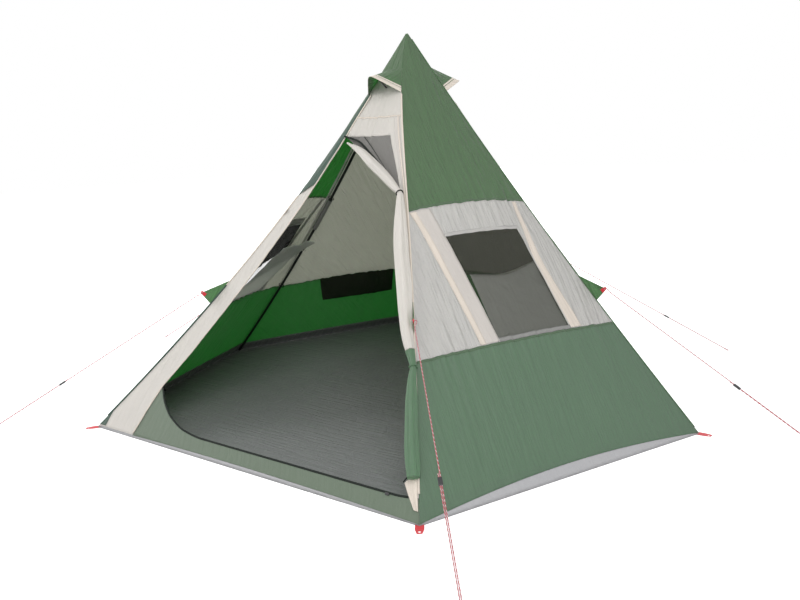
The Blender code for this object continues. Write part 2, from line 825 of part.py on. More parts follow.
def make_slider(pole):
    frame, length = guy_frame(pole)
    bpy.ops.mesh.primitive_cube_add(size=1.0)
    block = bpy.context.object
    size = Matrix.Diagonal((slider_length, slider_width, slider_height, 1.0))
    block.data.transform(size)
    middle = Matrix.Translation((slider_share * length, -guy_strands / 2, 0.0))
    block.matrix_world = frame @ middle
    finish(block, "guy_slider_" + pole, black_plastic)
    soft = block.modifiers.new("rounding", "BEVEL")
    soft.width = 0.002
    soft.segments = 2
    for index, offset in enumerate((guy_strands / 2, -guy_strands / 2)):
        bpy.ops.mesh.primitive_cylinder_add(vertices=12, radius=guy_cord / 2 + slider_clear,
                                            depth=slider_length + 2 * cut_overrun)
        bore = bpy.context.object
        lay = Matrix.Rotation(math.pi / 2, 4, "Y")
        bore.matrix_world = frame @ middle @ Matrix.Translation((0.0, offset, 0.0)) @ lay
        as_cutter(bore, "slider_bore_" + str(index) + "_" + pole)
        cut(block, bore)


def make_webbing(pole):
    """Peg loop of flat webbing at a corner, its inner end notched round the groundsheet."""
    out, side = outward(pole), sideways(pole)
    foot = groundsheet_corner(pole)
    order = list(wall_poles.values())
    before = next(pair[0] for pair in order if pair[1] == pole)
    after = next(pair[1] for pair in order if pair[0] == pole)
    half = webbing_width / 2
    notch = []
    for other in (before, after):
        way = (Vector((*pole_feet[other], 0.0)) - Vector((*pole_feet[pole], 0.0))).normalized()
        reach = half / abs(way.dot(side))
        notch.append((way.dot(out) * reach + webbing_gap, half * (1 if way.dot(side) > 0 else -1)))
    tip = webbing_tip / 2
    far = webbing_length
    upper, lower = sorted(notch, key=lambda place: -place[1])
    outline = [(webbing_gap, 0.0), lower, (far * 0.45, -half), (far, -tip), (far, tip),
               (far * 0.45, half), upper]
    frame = frame_of(foot + Vector((0, 0, webbing_thick / 2)), out, Vector((0, 0, 1)))
    make_plate("peg_loop_" + pole, outline, [((far - 2.2 * webbing_hole, 0.0), webbing_hole)],
               webbing_thick, frame, red_webbing)


def make_pocket():
    low, high = pocket_across_shares
    columns, rows = 6, 3

    def place(column, row):
        across = low + (high - low) * column / columns
        down = lower_seam_share + (pocket_bottom_share - lower_seam_share) * row / rows
        sag = pocket_sag * math.sin(math.pi * row / rows * 0.8) * bowed(column / columns)
        return wall_point("back_left", across, down, lift=-(4 * seat_gap + sag))

    make_sheet("storage_pocket", columns, rows, place, black_mesh, thick=pocket_cloth, side=-1)


def zip_slider_frame():
    down = zip_shares[1][1] + zip_slider[2] / 2 / wall_run("front")
    place = wall_point("front", front_across(zip_slider_share), down)
    far = wall_point("front", front_across(zip_shares[2][0]), down)
    normal = wall_normal("front")
    lift = cloth + 2 * seat_gap + zip_slider[1] / 2
    return frame_of(place + normal * lift, place - far, normal)


def make_zip_slider():
    bpy.ops.mesh.primitive_cube_add(size=1.0)
    slider = bpy.context.object
    slider.data.transform(Matrix.Diagonal((zip_slider[0], zip_slider[2], zip_slider[1], 1.0)))
    slider.matrix_world = zip_slider_frame()
    finish(slider, "zip_slider", black_plastic)
    soft = slider.modifiers.new("rounding", "BEVEL")
    soft.width = 0.0015
    soft.segments = 2


rear_walls = ["back_right", "back", "back_left"]
make_groundsheet()
for wall in ("front_right", "front_left"):
    make_band("lower_wall_" + wall, [wall], (lower_seam_share, 1.0), (5,), 8, green, hem=True)
    make_band("upper_wall_" + wall, [wall], (peak_share, upper_seam_share), (8,), 6, green)
make_band("lower_wall_rear", rear_walls, (lower_seam_share, 1.0), (4,), 6, green, hem=True)

# The two slanting rear walls are white up to the vent's level, and the one between them
# has a green upper band. Their columns over the poles are the 5th and the 10th.
make_band("middle_wall_rear", rear_walls,
          (rear_vent_bottom_share, upper_seam_share, lower_seam_share), (5, 5), 5, white,
          keep=lambda column, row: row >= 5 or column < 5 or column >= 10,
          lowered=lambda column, row: (3 if row == 5 and column in (5, 10) else
                                       1 if (row == 0 and column >= 10) or
                                       (row == 5 and 5 < column < 10) else 0),
          ended=lambda column, row: (None if row >= 5 else
                                     "back_right" if column == 5 else "back_left"))
make_band("upper_wall_rear", rear_walls, (peak_share, rear_vent_bottom_share, upper_seam_share),
          (4, 5), 5, green,
          keep=lambda column, row: 5 <= column < 10 or (column >= 10 and row < 4),
          ended=lambda column, row: "back" if row > 4 or column == 5 else None)
make_window_wall("right")
make_window_wall("left")
make_window_flap("right")
make_window_flap("left")
make_hood("vent_hood_front", "front")
make_hood("vent_hood_rear", "back_right")
make_vent("vent_panel_front", "front", vent_bottom_share)
make_vent("vent_panel_rear", "back_right", rear_vent_bottom_share)
make_prop("vent_prop_front", "front")
make_prop("vent_prop_rear", "back_right")
make_door_surround()
make_door_sill()
make_door_screen()
make_zip_slider()

make_roll("door_roll", roll_shares, roll_girth_shares, white)
make_roll("door_roll_hem", hem_shares, hem_girth_shares, green)
upper_spots = roll_centres(roll_shares, roll_radii(roll_girth_shares))
lower_spots = roll_centres(hem_shares, roll_radii(hem_girth_shares))
make_tie("door_tie_upper", upper_spots[8], upper_spots[9] - upper_spots[7], black_plastic)
make_tie("door_tie_lower", lower_spots[1], lower_spots[2] - lower_spots[0], green)

for pole in pole_feet:
    make_pole(pole)
make_hub()
for pole in pole_feet:
    make_tab(pole)
    make_guy(pole)
    make_slider(pole)
    make_webbing(pole)
make_pocket()
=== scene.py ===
import math

import bmesh
import bpy
import numpy as np
from mathutils import Matrix, Vector


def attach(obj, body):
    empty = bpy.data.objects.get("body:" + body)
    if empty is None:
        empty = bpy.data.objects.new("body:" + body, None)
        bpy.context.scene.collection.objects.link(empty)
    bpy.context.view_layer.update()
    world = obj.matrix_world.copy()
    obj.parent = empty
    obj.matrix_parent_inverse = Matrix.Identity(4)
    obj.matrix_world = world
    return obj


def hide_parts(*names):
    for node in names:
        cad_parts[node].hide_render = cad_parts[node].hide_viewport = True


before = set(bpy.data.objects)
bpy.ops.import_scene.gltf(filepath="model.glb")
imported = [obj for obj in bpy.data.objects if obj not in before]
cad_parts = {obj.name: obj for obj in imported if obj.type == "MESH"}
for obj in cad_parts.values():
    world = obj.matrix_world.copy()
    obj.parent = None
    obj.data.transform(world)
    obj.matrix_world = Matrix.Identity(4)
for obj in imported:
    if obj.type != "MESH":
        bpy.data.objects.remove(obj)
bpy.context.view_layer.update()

cameraPlan = {"azimuth": 37.068, "elevation": 10.853, "roll": -2.449, "distance": 5.332, "targetHeight": 0.617,
              "lens": 36.78, "sensor": 36.0, "shiftX": -0.0224, "shiftY": -0.0089}
lampPlan = {"key": {"place": (4.5, -5.5, 6.0), "size": 5.0, "watts": 430.0},
            "fill": {"place": (-6.5, -3.0, 4.0), "size": 5.0, "watts": 250.0},
            "back": {"place": (-4.0, 6.0, 5.0), "size": 5.0, "watts": 330.0}, "aim": (0.0, 0.0, 0.8)}
floorPlan = {"size": 60.0, "paint": 0.86, "nearGlow": 0.40, "fadeFrom": 3.0, "fadeTo": 8.0, "worldLight": 0.72}


def fill(tree, node, inputs):
    # sets a node's inputs, or links those that come from another node
    for label, value in inputs.items():
        if isinstance(value, bpy.types.NodeSocket):
            tree.links.new(value, node.inputs[label])
        else:
            node.inputs[label].default_value = value
    return node


def addNode(tree, kind, inputs=None, **settings):
    node = tree.nodes.new("ShaderNode" + kind)
    for name, value in settings.items():
        setattr(node, name, value)
    return fill(tree, node, inputs or {})


def mathNode(tree, kind, *values):
    return addNode(tree, "Math", dict(enumerate(values)), operation=kind).outputs[0]


def backdropRays(tree):
    # 1 for what the camera sees itself, in gloss or through glass
    rays = addNode(tree, "LightPath").outputs
    seen = mathNode(tree, "MAXIMUM", rays["Is Camera Ray"], rays["Is Glossy Ray"])
    return mathNode(tree, "MAXIMUM", seen, rays["Is Transmission Ray"])


def setCamera(plan):
    turn, rise, roll = (math.radians(plan[key]) for key in ("azimuth", "elevation", "roll"))
    back = Vector((math.sin(turn) * math.cos(rise), -math.cos(turn) * math.cos(rise), math.sin(rise)))
    right = Vector((math.cos(turn), math.sin(turn), 0.0))
    up = back.cross(right)
    rightTurned = right * math.cos(roll) + up * math.sin(roll)
    upTurned = up * math.cos(roll) - right * math.sin(roll)
    bpy.ops.object.camera_add()
    camera = bpy.context.object
    camera.name = "tentCamera"
    place = Vector((0.0, 0.0, plan["targetHeight"])) + back * plan["distance"]
    camera.matrix_world = Matrix.Translation(place) @ Matrix((rightTurned, upTurned, back)).transposed().to_4x4()
    camera.data.sensor_width, camera.data.lens = plan["sensor"], plan["lens"]
    camera.data.shift_x, camera.data.shift_y = plan["shiftX"], plan["shiftY"]
    camera.data.clip_end = 200.0
    bpy.context.scene.camera = camera


def setStage():
    setCamera(cameraPlan)
    bpy.ops.mesh.primitive_plane_add(size=floorPlan["size"], location=(0.0, 0.0, -0.001))
    floor = bpy.context.object
    floor.name = "studioFloor"
    paint = bpy.data.materials.new("studioFloorPaint")
    paint.use_nodes = True
    tree = paint.node_tree
    tree.nodes.clear()
    matte = addNode(tree, "BsdfDiffuse", {"Color": (*[floorPlan["paint"]] * 3, 1.0)}).outputs[0]
    away = addNode(tree, "VectorMath", {0: addNode(tree, "TexCoord").outputs["Object"]}, operation="LENGTH")
    fade = addNode(tree, "MapRange", {"Value": away.outputs["Value"], "From Min": floorPlan["fadeFrom"],
                                      "From Max": floorPlan["fadeTo"], "To Min": floorPlan["nearGlow"], "To Max": 1.0})
    glow = addNode(tree, "Emission", {"Strength": fade.outputs["Result"]}).outputs[0]   # whiter far from the tent
    both = addNode(tree, "AddShader", {0: matte, 1: glow}).outputs[0]
    seen = addNode(tree, "MixShader", {0: backdropRays(tree), 1: matte, 2: both}).outputs[0]
    addNode(tree, "OutputMaterial", {"Surface": seen})
    floor.data.materials.append(paint)

    world = bpy.data.worlds.new("studioWorld")
    bpy.context.scene.world = world
    world.use_nodes = True
    tree = world.node_tree
    tree.nodes.clear()
    soft, white = (addNode(tree, "Background", {"Color": (1.0, 1.0, 1.0, 1.0), "Strength": strength}).outputs[0]
                   for strength in (floorPlan["worldLight"], 1.0))
    seen = addNode(tree, "MixShader", {0: backdropRays(tree), 1: soft, 2: white}).outputs[0]
    addNode(tree, "OutputWorld", {"Surface": seen})
    for name in ("key", "fill", "back"):
        plan = lampPlan[name]
        bpy.ops.object.light_add(type="AREA", location=plan["place"])
        lamp = bpy.context.object
        lamp.name = name + "Lamp"
        lamp.data.shape, lamp.data.size, lamp.data.energy = "DISK", plan["size"], plan["watts"]
        lamp.rotation_euler = (Vector(lampPlan["aim"]) - Vector(plan["place"])).to_track_quat("-Z", "Y").to_euler()
    bpy.context.scene.view_settings.view_transform = "Standard"


setStage()
print("stage set")

tent = {"height": 2.25, "feet": {"front_left": (-1.195, -1.64), "front_right": (1.195, -1.64), "right": (1.84, 0.0),
                                 "back_right": (0.86, 1.28), "back_left": (-1.195, 1.64), "left": (-1.84, 0.0)},
        "bow": {"front_left": 0.13, "front_right": 0.08, "right": 0.045, "back_right": 0.08, "back_left": 0.08,
                "left": 0.10},
        "lean": 0.042, "leanCrest": 0.2, "seamGap": 0.0004, "cloth": 0.002,
        "belly": {"front": 0.0, "front_right": 0.05, "back_right": 0.03, "back": 0.03, "back_left": 0.03,
                  "front_left": 0.05},
        "walls": {"front": ("front_left", "front_right"), "front_right": ("front_right", "right"),
                  "back_right": ("right", "back_right"), "back": ("back_right", "back_left"),
                  "back_left": ("back_left", "left"), "front_left": ("left", "front_left")},
        "hem": 0.0056, "hemArc": 0.042, "frontHemArc": 0.012, "peak": 0.004, "ventTop": 0.10, "ventBottom": 0.226,
        "rearVentBottom": 0.20, "upperSeam": 0.457, "lowerSeam": 0.75}
peakPoint = np.array((0.0, 0.0, tent["height"]))


def unit(vector):
    return vector / np.linalg.norm(vector)


def poleFoot(pole):
    return np.array((*tent["feet"][pole], 0.0))


def outward(pole):
    return unit(poleFoot(pole))


def sideways(pole):
    out = outward(pole)
    return np.array((-out[1], out[0], 0.0))


def column(values):
    return np.asarray(values, float)[..., None]


def poleLine(pole, down):
    down = column(down)
    place = poleFoot(pole) * down + peakPoint * (1 - down)
    place = place - outward(pole) * tent["bow"][pole] * 4 * down * (1 - down)
    if pole == "front_right":
        crest = tent["leanCrest"]
        leaned = (down / crest) * (np.maximum(1 - down, 0.0) / (1 - crest)) ** ((1 - crest) / crest)
        place = place - sideways(pole) * tent["lean"] * leaned
    return place


def wallNormal(wall):
    first, last = (poleFoot(pole) for pole in tent["walls"][wall])
    return unit(np.cross(last - first, peakPoint - first))


wallNormals = {wall: wallNormal(wall) for wall in tent["walls"]}
upper, lower = tent["upperSeam"], tent["lowerSeam"]


def wallChord(wall, down):
    first, last = (poleLine(pole, down) for pole in tent["walls"][wall])
    return np.linalg.norm(last - first, axis=-1)


def smooth(value):
    value = np.clip(value, 0.0, 1.0)
    return value * value * (3 - 2 * value)


def wander(place, pitch, seed):
    # smooth chance values from -1 to 1 along a line
    table = np.random.default_rng(seed).uniform(-1, 1, 1024)
    cell = np.asarray(place, float) / pitch + 300.0
    low = np.floor(cell).astype(int)
    part = smooth(cell - low)
    return table[low % 1024] * (1 - part) + table[(low + 1) % 1024] * part


def drift(across, down, pitch, seed):
    # the same over a surface
    table = np.random.default_rng(seed).uniform(-1, 1, (128, 128))
    x, y = np.asarray(across, float) / pitch + 40.0, np.asarray(down, float) / pitch + 40.0
    lowX, lowY = np.floor(x).astype(int), np.floor(y).astype(int)
    partX, partY = smooth(x - lowX), smooth(y - lowY)
    corner = [table[(lowX + i) % 128, (lowY + j) % 128] for i in (0, 1) for j in (0, 1)]
    left, right = (corner[i] * (1 - partY) + corner[i + 1] * partY for i in (0, 2))
    return left * (1 - partX) + right * partX


ripplePlan = {"pucker": 0.0058, "puckerPitch": 0.026, "finePitch": 0.017, "puckerReach": 0.17, "streak": 0.0038,
              "streakPitch": 0.055, "broad": 0.0045, "broadPitch": 0.42, "crease": 0.0016, "creasePitch": 0.16,
              "edgeFade": 0.07, "run": 2.7,
              "seams": {"front": (0.226,), "back_right": (0.20, 0.75), "back_left": (0.20, 0.75),
                        "other": (0.457, 0.75)}}


def ripple(wall, across, down):
    # how far the hung cloth of a wall lies off its smooth form
    plan = ripplePlan
    across, down = np.broadcast_arrays(np.asarray(across, float), np.asarray(down, float))
    chord = wallChord(wall, down)
    x, y = (across - 0.5) * chord, down * plan["run"]
    seed = 11 * (1 + list(tent["walls"]).index(wall))
    off = np.zeros(across.shape)
    for index, seam in enumerate(plan["seams"].get(wall, plan["seams"]["other"])):
        away = np.abs(down - seam) * plan["run"]
        reach = plan["puckerReach"] * (1 + 0.7 * wander(x, 0.06, seed + 3 + index))
        fold = wander(x, plan["puckerPitch"], seed + index) + 0.6 * wander(x, plan["finePitch"], seed + 30 + index)
        off += plan["pucker"] * np.exp(-away / reach) * fold
    fan = (across - 0.5) * 2.3
    off += plan["streak"] * wander(fan, plan["streakPitch"], seed + 7) * (0.5 + 0.5 * wander(y, 0.3, seed + 8))
    off += plan["broad"] * drift(x, y, plan["broadPitch"], seed + 9)
    for turn, pitch, share in ((0.6, plan["creasePitch"], 1.0), (-0.9, plan["creasePitch"] * 0.6, 0.6)):
        u = x * math.cos(turn) + y * math.sin(turn)
        v = y * math.cos(turn) - x * math.sin(turn)
        ridge = 1 - np.abs(drift(u * 0.6, v * 1.5, pitch, seed + 12 + int(10 * share)))
        off += plan["crease"] * share * (ridge ** 3 - 0.35)
    inside = np.minimum(across, 1 - across) * chord
    calm = 0.25 + 0.75 * smooth((down - 0.12) / 0.15)      # quiet near the vents' props and the ground's rim
    return off * calm * smooth((0.985 - down) / 0.05) * smooth(inside / plan["edgeFade"])


def wallPlace(wall, across, down, lift=0.0, rippled=True):
    # points on a wall's inner face
    across, down = np.broadcast_arrays(np.asarray(across, float), np.asarray(down, float))
    first, last = (poleLine(pole, down) for pole in tent["walls"][wall])
    chord = np.linalg.norm(last - first, axis=-1)
    held = (tent["seamGap"] + across * (chord - 2 * tent["seamGap"])) / chord
    swell = tent["belly"][wall] * 16 * across * (1 - across) * down * (1 - down)
    if rippled:
        swell = swell + ripple(wall, across, down)
    return first + (last - first) * column(held) + wallNormals[wall] * column(swell + lift)


def wallRun(wall):
    return float(np.linalg.norm(wallPlace(wall, 0.5, 1.0, rippled=False) - peakPoint))


def seamStep(wall):
    return tent["seamGap"] / wallRun(wall)


def hemDown(wall, across):
    arc = tent["frontHemArc"] if wall == "front" else tent["hemArc"]
    return 1 - (tent["hem"] + arc * 4 * across * (1 - across)) / tent["height"]


def stops(marks, counts):
    # values that divide each stretch between two marks into its count of equal steps
    values = [marks[0]]
    for low, high, count in zip(marks, marks[1:], counts):
        values += [low + (high - low) * (step + 1) / count for step in range(count)]
    return values


def tableAt(table, key):
    # a smooth line through a table of pairs
    keys, values = (np.array(side, float) for side in zip(*table))
    slopes = np.gradient(values, keys)
    steps = np.diff(values) / np.diff(keys)
    for index in range(1, len(keys) - 1):
        turns = steps[index - 1] * steps[index] <= 0
        slopes[index] = 0.0 if turns else 2 / (1 / steps[index - 1] + 1 / steps[index])
    key = np.clip(np.asarray(key, float), keys[0], keys[-1])
    low = np.clip(np.searchsorted(keys, key, side="right") - 1, 0, len(keys) - 2)
    wide = keys[low + 1] - keys[low]
    part = (key - keys[low]) / wide
    square, cube = part * part, part * part * part
    return (values[low] * (2 * cube - 3 * square + 1) + slopes[low] * wide * (cube - 2 * square + part)
            + values[low + 1] * (3 * square - 2 * cube) + slopes[low + 1] * wide * (cube - square))


def groupOf(name, label, value, outputs):
    # an effect that several finishes share: a vector and one value in
    made = bpy.data.node_groups.new(name, "ShaderNodeTree")
    made.interface.new_socket("Vector", in_out="INPUT", socket_type="NodeSocketVector")
    made.interface.new_socket(label, in_out="INPUT", socket_type="NodeSocketFloat").default_value = value
    for out in outputs:
        made.interface.new_socket(out, in_out="OUTPUT", socket_type="NodeSocketFloat")
    return made, made.nodes.new("NodeGroupInput").outputs, made.nodes.new("NodeGroupOutput")


def weaveGroup():
    # fine threads over and under, from a cloth's own map in metres
    tree, start, end = groupOf("plainWeave", "Thread", 0.0009, ("Height", "Mask"))
    apart = addNode(tree, "SeparateXYZ", {0: start["Vector"]}).outputs
    turns = mathNode(tree, "DIVIDE", math.tau / 2, start["Thread"])
    warp, weft = (mathNode(tree, "SINE", mathNode(tree, "MULTIPLY", apart[way], turns)) for way in "XY")
    both = mathNode(tree, "MULTIPLY", warp, weft)
    raised = mathNode(tree, "ADD", mathNode(tree, "MULTIPLY", both, 0.5), 0.5)
    fill(tree, end, {"Height": raised, "Mask": mathNode(tree, "ABSOLUTE", both)})
    return tree


def crumpleGroup():
    # soft creases at two sizes and slow changes of shade
    tree, start, end = groupOf("crumple", "Scale", 9.0, ("Height", "Shade"))
    heights = []
    for factor, share in ((1.0, 0.7), (2.7, 0.3)):
        cloud = addNode(tree, "TexNoise", {"Vector": start["Vector"], "Detail": 2.0, "Distortion": 0.9,
                                           "Scale": mathNode(tree, "MULTIPLY", start["Scale"], factor)})
        fold = mathNode(tree, "ABSOLUTE", mathNode(tree, "SUBTRACT", cloud.outputs["Fac"], 0.5))
        heights.append(mathNode(tree, "MULTIPLY", fold, share * 2))
    slow = addNode(tree, "TexNoise", {"Vector": start["Vector"], "Scale": 1.7, "Detail": 3.0})
    fill(tree, end, {"Height": mathNode(tree, "ADD", *heights), "Shade": slow.outputs["Fac"]})
    return tree


def streakGroup():
    # long drawn lines down a hung cloth, from its own map in metres
    tree, start, end = groupOf("drawnStreaks", "Across", 38.0, ("Height",))
    stretch = addNode(tree, "Mapping", {"Scale": (1.0, 0.09, 1.0), "Vector": start["Vector"]})
    cloud = addNode(tree, "TexNoise", {"Vector": stretch.outputs[0], "Detail": 2.5, "Scale": start["Across"]})
    fill(tree, end, {"Height": cloud.outputs["Fac"]})
    return tree


def stitchGroup():
    # two rows of stitches along a tape, a set way off its middle, from its own map in metres
    tree, start, end = groupOf("stitchRows", "Offset", 0.01, ("Mask",))
    apart = addNode(tree, "SeparateXYZ", {0: start["Vector"]}).outputs
    off = mathNode(tree, "SUBTRACT", mathNode(tree, "ABSOLUTE", apart["X"]), start["Offset"])
    onRow = mathNode(tree, "LESS_THAN", mathNode(tree, "ABSOLUTE", off), 0.0008)
    stitch = mathNode(tree, "FRACT", mathNode(tree, "DIVIDE", apart["Y"], 0.0048))
    fill(tree, end, {"Mask": mathNode(tree, "MULTIPLY", onRow, mathNode(tree, "LESS_THAN", stitch, 0.64))})
    return tree


weave, crumple, streaks, stitches = weaveGroup(), crumpleGroup(), streakGroup(), stitchGroup()


def newMaterial(name):
    made = bpy.data.materials.new(name)
    made.use_nodes = True
    tree = made.node_tree
    return made, tree, tree.nodes["Principled BSDF"], addNode(tree, "TexCoord").outputs


def mixColours(tree, factor, first, second):
    ends = {label: end if isinstance(end, bpy.types.NodeSocket) else (*end, 1.0)
            for label, end in (("A", first), ("B", second))}
    return addNode(tree, "Mix", {"Factor": factor, **ends}, data_type="RGBA").outputs["Result"]


def bumped(tree, strength, distance, height, normal=None):
    inputs = {"Strength": strength, "Distance": distance, "Height": height}
    return addNode(tree, "Bump", {**inputs, "Normal": normal} if normal else inputs).outputs[0]


def clothMaterial(name, colour, through=None, glow=0.35, roughness=0.62, thread=0.0009, crease=0.35, streak=0.25,
                  shade=0.10, alpha=None, stitch=None):
    # woven cloth: threads, creases, drawn lines with painted shade along them, and light that comes through from behind
    made, tree, body, coords = newMaterial(name)
    threads = addNode(tree, "Group", {"Vector": coords["UV"], "Thread": thread}, node_tree=weave).outputs
    folds = addNode(tree, "Group", {"Vector": coords["Object"]}, node_tree=crumple).outputs
    drawn = addNode(tree, "Group", {"Vector": coords["UV"]}, node_tree=streaks).outputs["Height"]
    # the colour wanders with the slow noise and the threads, which is tone; the drawn lines darken and lighten it too,
    # which is painted shade of the folds they bump
    factor = mathNode(tree, "ADD", mathNode(tree, "MULTIPLY", folds["Shade"], 0.45),
                      mathNode(tree, "MULTIPLY", threads["Mask"], 0.15))
    factor = mathNode(tree, "ADD", factor, mathNode(tree, "MULTIPLY", drawn, 0.40))
    paint = mixColours(tree, factor, [part * (1 - shade) for part in colour],
                       [min(1.0, part * (1 + shade)) for part in colour])
    height = threads["Height"]
    if stitch:
        rows = addNode(tree, "Group", {"Vector": coords["UV"], "Offset": stitch}, node_tree=stitches).outputs["Mask"]
        paint = mixColours(tree, rows, paint, [part * 0.62 for part in colour])
        height = mathNode(tree, "ADD", height, mathNode(tree, "MULTIPLY", rows, 2.5))
    normal = bumped(tree, 0.18, 0.0002, height)
    normal = bumped(tree, crease, 0.010, folds["Height"], normal)
    normal = bumped(tree, streak, 0.022, drawn, normal)
    pale = max(colour) > 0.05                              # dark cloth has no sheen, so that it stays dark
    rough = mathNode(tree, "ADD", roughness - 0.05, mathNode(tree, "MULTIPLY", folds["Shade"], 0.10))
    fill(tree, body, {"Base Color": paint, "Roughness": rough, "Sheen Weight": 0.12 if pale else 0.0,
                      "Specular IOR Level": 0.35 if pale else 0.12, "Normal": normal})
    surface = body.outputs[0]
    if glow > 0:
        lit = addNode(tree, "BsdfTranslucent", {"Color": (*(through or colour), 1.0), "Normal": normal}).outputs[0]
        surface = addNode(tree, "MixShader", {0: glow, 1: surface, 2: lit}).outputs[0]
    if alpha is not None:
        holes = mathNode(tree, "ADD", alpha - 0.06, mathNode(tree, "MULTIPLY", threads["Mask"], 0.12))
        fill(tree, body, {"Alpha": holes})
    fill(tree, tree.nodes["Material Output"], {"Surface": surface})
    return made


netFinish = {"glow": 0.0, "roughness": 0.8, "thread": 0.0022}
cloths = {
    "upperGreen": clothMaterial("upperGreenCloth", (0.102, 0.160, 0.091), (0.10, 0.60, 0.14), glow=0.34, streak=0.9,
                                shade=0.22),
    "lowerGreen": clothMaterial("lowerGreenCloth", (0.129, 0.194, 0.136), (0.09, 0.52, 0.13), glow=0.34, streak=0.4,
                                shade=0.14),
    "sage": clothMaterial("sageCloth", (0.132, 0.170, 0.124), (0.2, 0.4, 0.2), glow=0.20),
    "white": clothMaterial("naturalCloth", (0.525, 0.511, 0.505), (0.78, 0.80, 0.70), glow=0.34, streak=0.9),
    "cream": clothMaterial("creamCloth", (0.60, 0.575, 0.545), (0.92, 0.90, 0.82), glow=0.30, streak=0.4, shade=0.08),
    "facing": clothMaterial("facingCloth", (0.555, 0.525, 0.495), (0.9, 0.85, 0.8), glow=0.25, stitch=0.052),
    "ivory": clothMaterial("ivoryTape", (0.66, 0.595, 0.52), glow=0.15, crease=0.2, stitch=0.0032),
    "ivoryWide": clothMaterial("ivoryBand", (0.64, 0.575, 0.505), glow=0.15, crease=0.2, stitch=0.0125),
    "greenTape": clothMaterial("greenSeamTape", (0.090, 0.145, 0.084), (0.10, 0.50, 0.14), glow=0.2, crease=0.2,
                               stitch=0.0034),
    # the wall's green in a darker copy: painted shade where it turns round the front left pole
    "paintedShadeGreen": clothMaterial("shadedGreenCloth", (0.040, 0.075, 0.055), glow=0.10, streak=0.5, shade=0.16),
    "flap": clothMaterial("flapCloth", (0.76, 0.77, 0.73), (0.86, 0.88, 0.82), glow=0.40, crease=0.6),
    "edging": clothMaterial("netEdging", (0.20, 0.20, 0.192), glow=0.0, crease=0.3, stitch=0.009),
    "floor": clothMaterial("groundCloth", (0.140, 0.147, 0.145), glow=0.0, roughness=0.42, crease=0.6, streak=0.5),
    "rim": clothMaterial("groundRim", (0.34, 0.34, 0.35), glow=0.0, roughness=0.40, crease=0.5),
    "mesh": clothMaterial("windowNet", (0.035, 0.035, 0.028), alpha=0.39, **netFinish),
    "closeMesh": clothMaterial("closeNet", (0.035, 0.035, 0.028), alpha=0.86, **netFinish),
    "screen": clothMaterial("doorNet", (0.165, 0.160, 0.150), alpha=0.85, **netFinish),
    "dark": clothMaterial("darkTape", (0.014, 0.018, 0.015), glow=0.0, roughness=0.75),
    "sleeve": clothMaterial("sleeveTape", (0.72, 0.71, 0.66), glow=0.1, roughness=0.6),
    "red": clothMaterial("redWebbing", (0.52, 0.026, 0.036), glow=0.0, thread=0.002, roughness=0.6, stitch=0.008),
}


def meshFrom(name, points, faces, material, maps):
    mesh = bpy.data.meshes.new(name)
    mesh.from_pydata([tuple(point) for point in points], [], faces)
    mesh.update()
    corners = np.zeros(len(mesh.loops), int)
    mesh.loops.foreach_get("vertex_index", corners)
    mesh.uv_layers.new(name="clothMap").data.foreach_set("uv", np.asarray(maps, np.float32)[corners].ravel())
    mesh.materials.append(material)
    piece = bpy.data.objects.new(name, mesh)
    bpy.context.scene.collection.objects.link(piece)
    return piece


def pickOnly(piece):
    bpy.ops.object.select_all(action="DESELECT")
    piece.select_set(True)
    bpy.context.view_layer.objects.active = piece


def thicken(piece, thick, side=1.0, even=True):
    shell = piece.modifiers.new("thickness", "SOLIDIFY")
    shell.thickness, shell.offset, shell.use_even_offset = thick, side, even
    pickOnly(piece)
    bpy.ops.object.modifier_apply(modifier=shell.name)
    piece.data.polygons.foreach_set("use_smooth", [True] * len(piece.data.polygons))


def claim(piece, node, body="tent"):
    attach(piece, body)
    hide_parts(node)


def gridFaces(rows, columns, keep=None, closed=False):
    faces = []
    wide = columns if closed else columns + 1
    for row in range(rows):
        for step in range(columns):
            if keep is None or keep(step, row):
                a, b = row * wide + step, row * wide + (step + 1) % wide
                faces.append((a, a + wide, b + wide, b))
    return faces


def mapOf(points):
    # a map in metres: the distance along the rows and down the middle column
    across = np.concatenate([np.zeros((len(points), 1)),
                             np.cumsum(np.linalg.norm(np.diff(points, axis=1), axis=-1), axis=1)], axis=1)
    across -= across[:, -1:] / 2
    down = np.concatenate([np.zeros((1, points.shape[1])),
                           np.cumsum(np.linalg.norm(np.diff(points, axis=0), axis=-1), axis=0)], axis=0)
    return np.stack([across, down], axis=-1)


def longest(points, axis):
    # the longest row or column of a laid cloth
    return float(np.linalg.norm(np.diff(points, axis=axis), axis=-1).sum(axis=axis).max())


flatSizes = {}


def hang(name, points, finish, node=None, thick=0.0012, side=1.0, keep=None,
         size=None, body="tent"):
    # a cloth from rows of points (row 0 at the top), given a thickness outwards, its flat size and area kept in
    # flatSizes
    piece = meshFrom(name, points.reshape(-1, 3), gridFaces(points.shape[0] - 1, points.shape[1] - 1, keep),
                     cloths[finish], mapOf(points).reshape(-1, 2))
    if keep is not None:
        work = bmesh.new()
        work.from_mesh(piece.data)
        bmesh.ops.delete(work, geom=[point for point in work.verts if not point.link_faces], context="VERTS")
        work.to_mesh(piece.data)
        work.free()
    area = sum(face.area for face in piece.data.polygons)
    thicken(piece, thick, side)
    width, length = (round(value, 4) for value in size or (longest(points, 1), longest(points, 0)))
    area = max(min(area, 0.99 * width * length), 0.31 * width * length)
    flatSizes[name] = (round(width, 3), round(length, 3), round(area, 3))
    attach(piece, body)
    if node:
        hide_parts(node)
    return piece


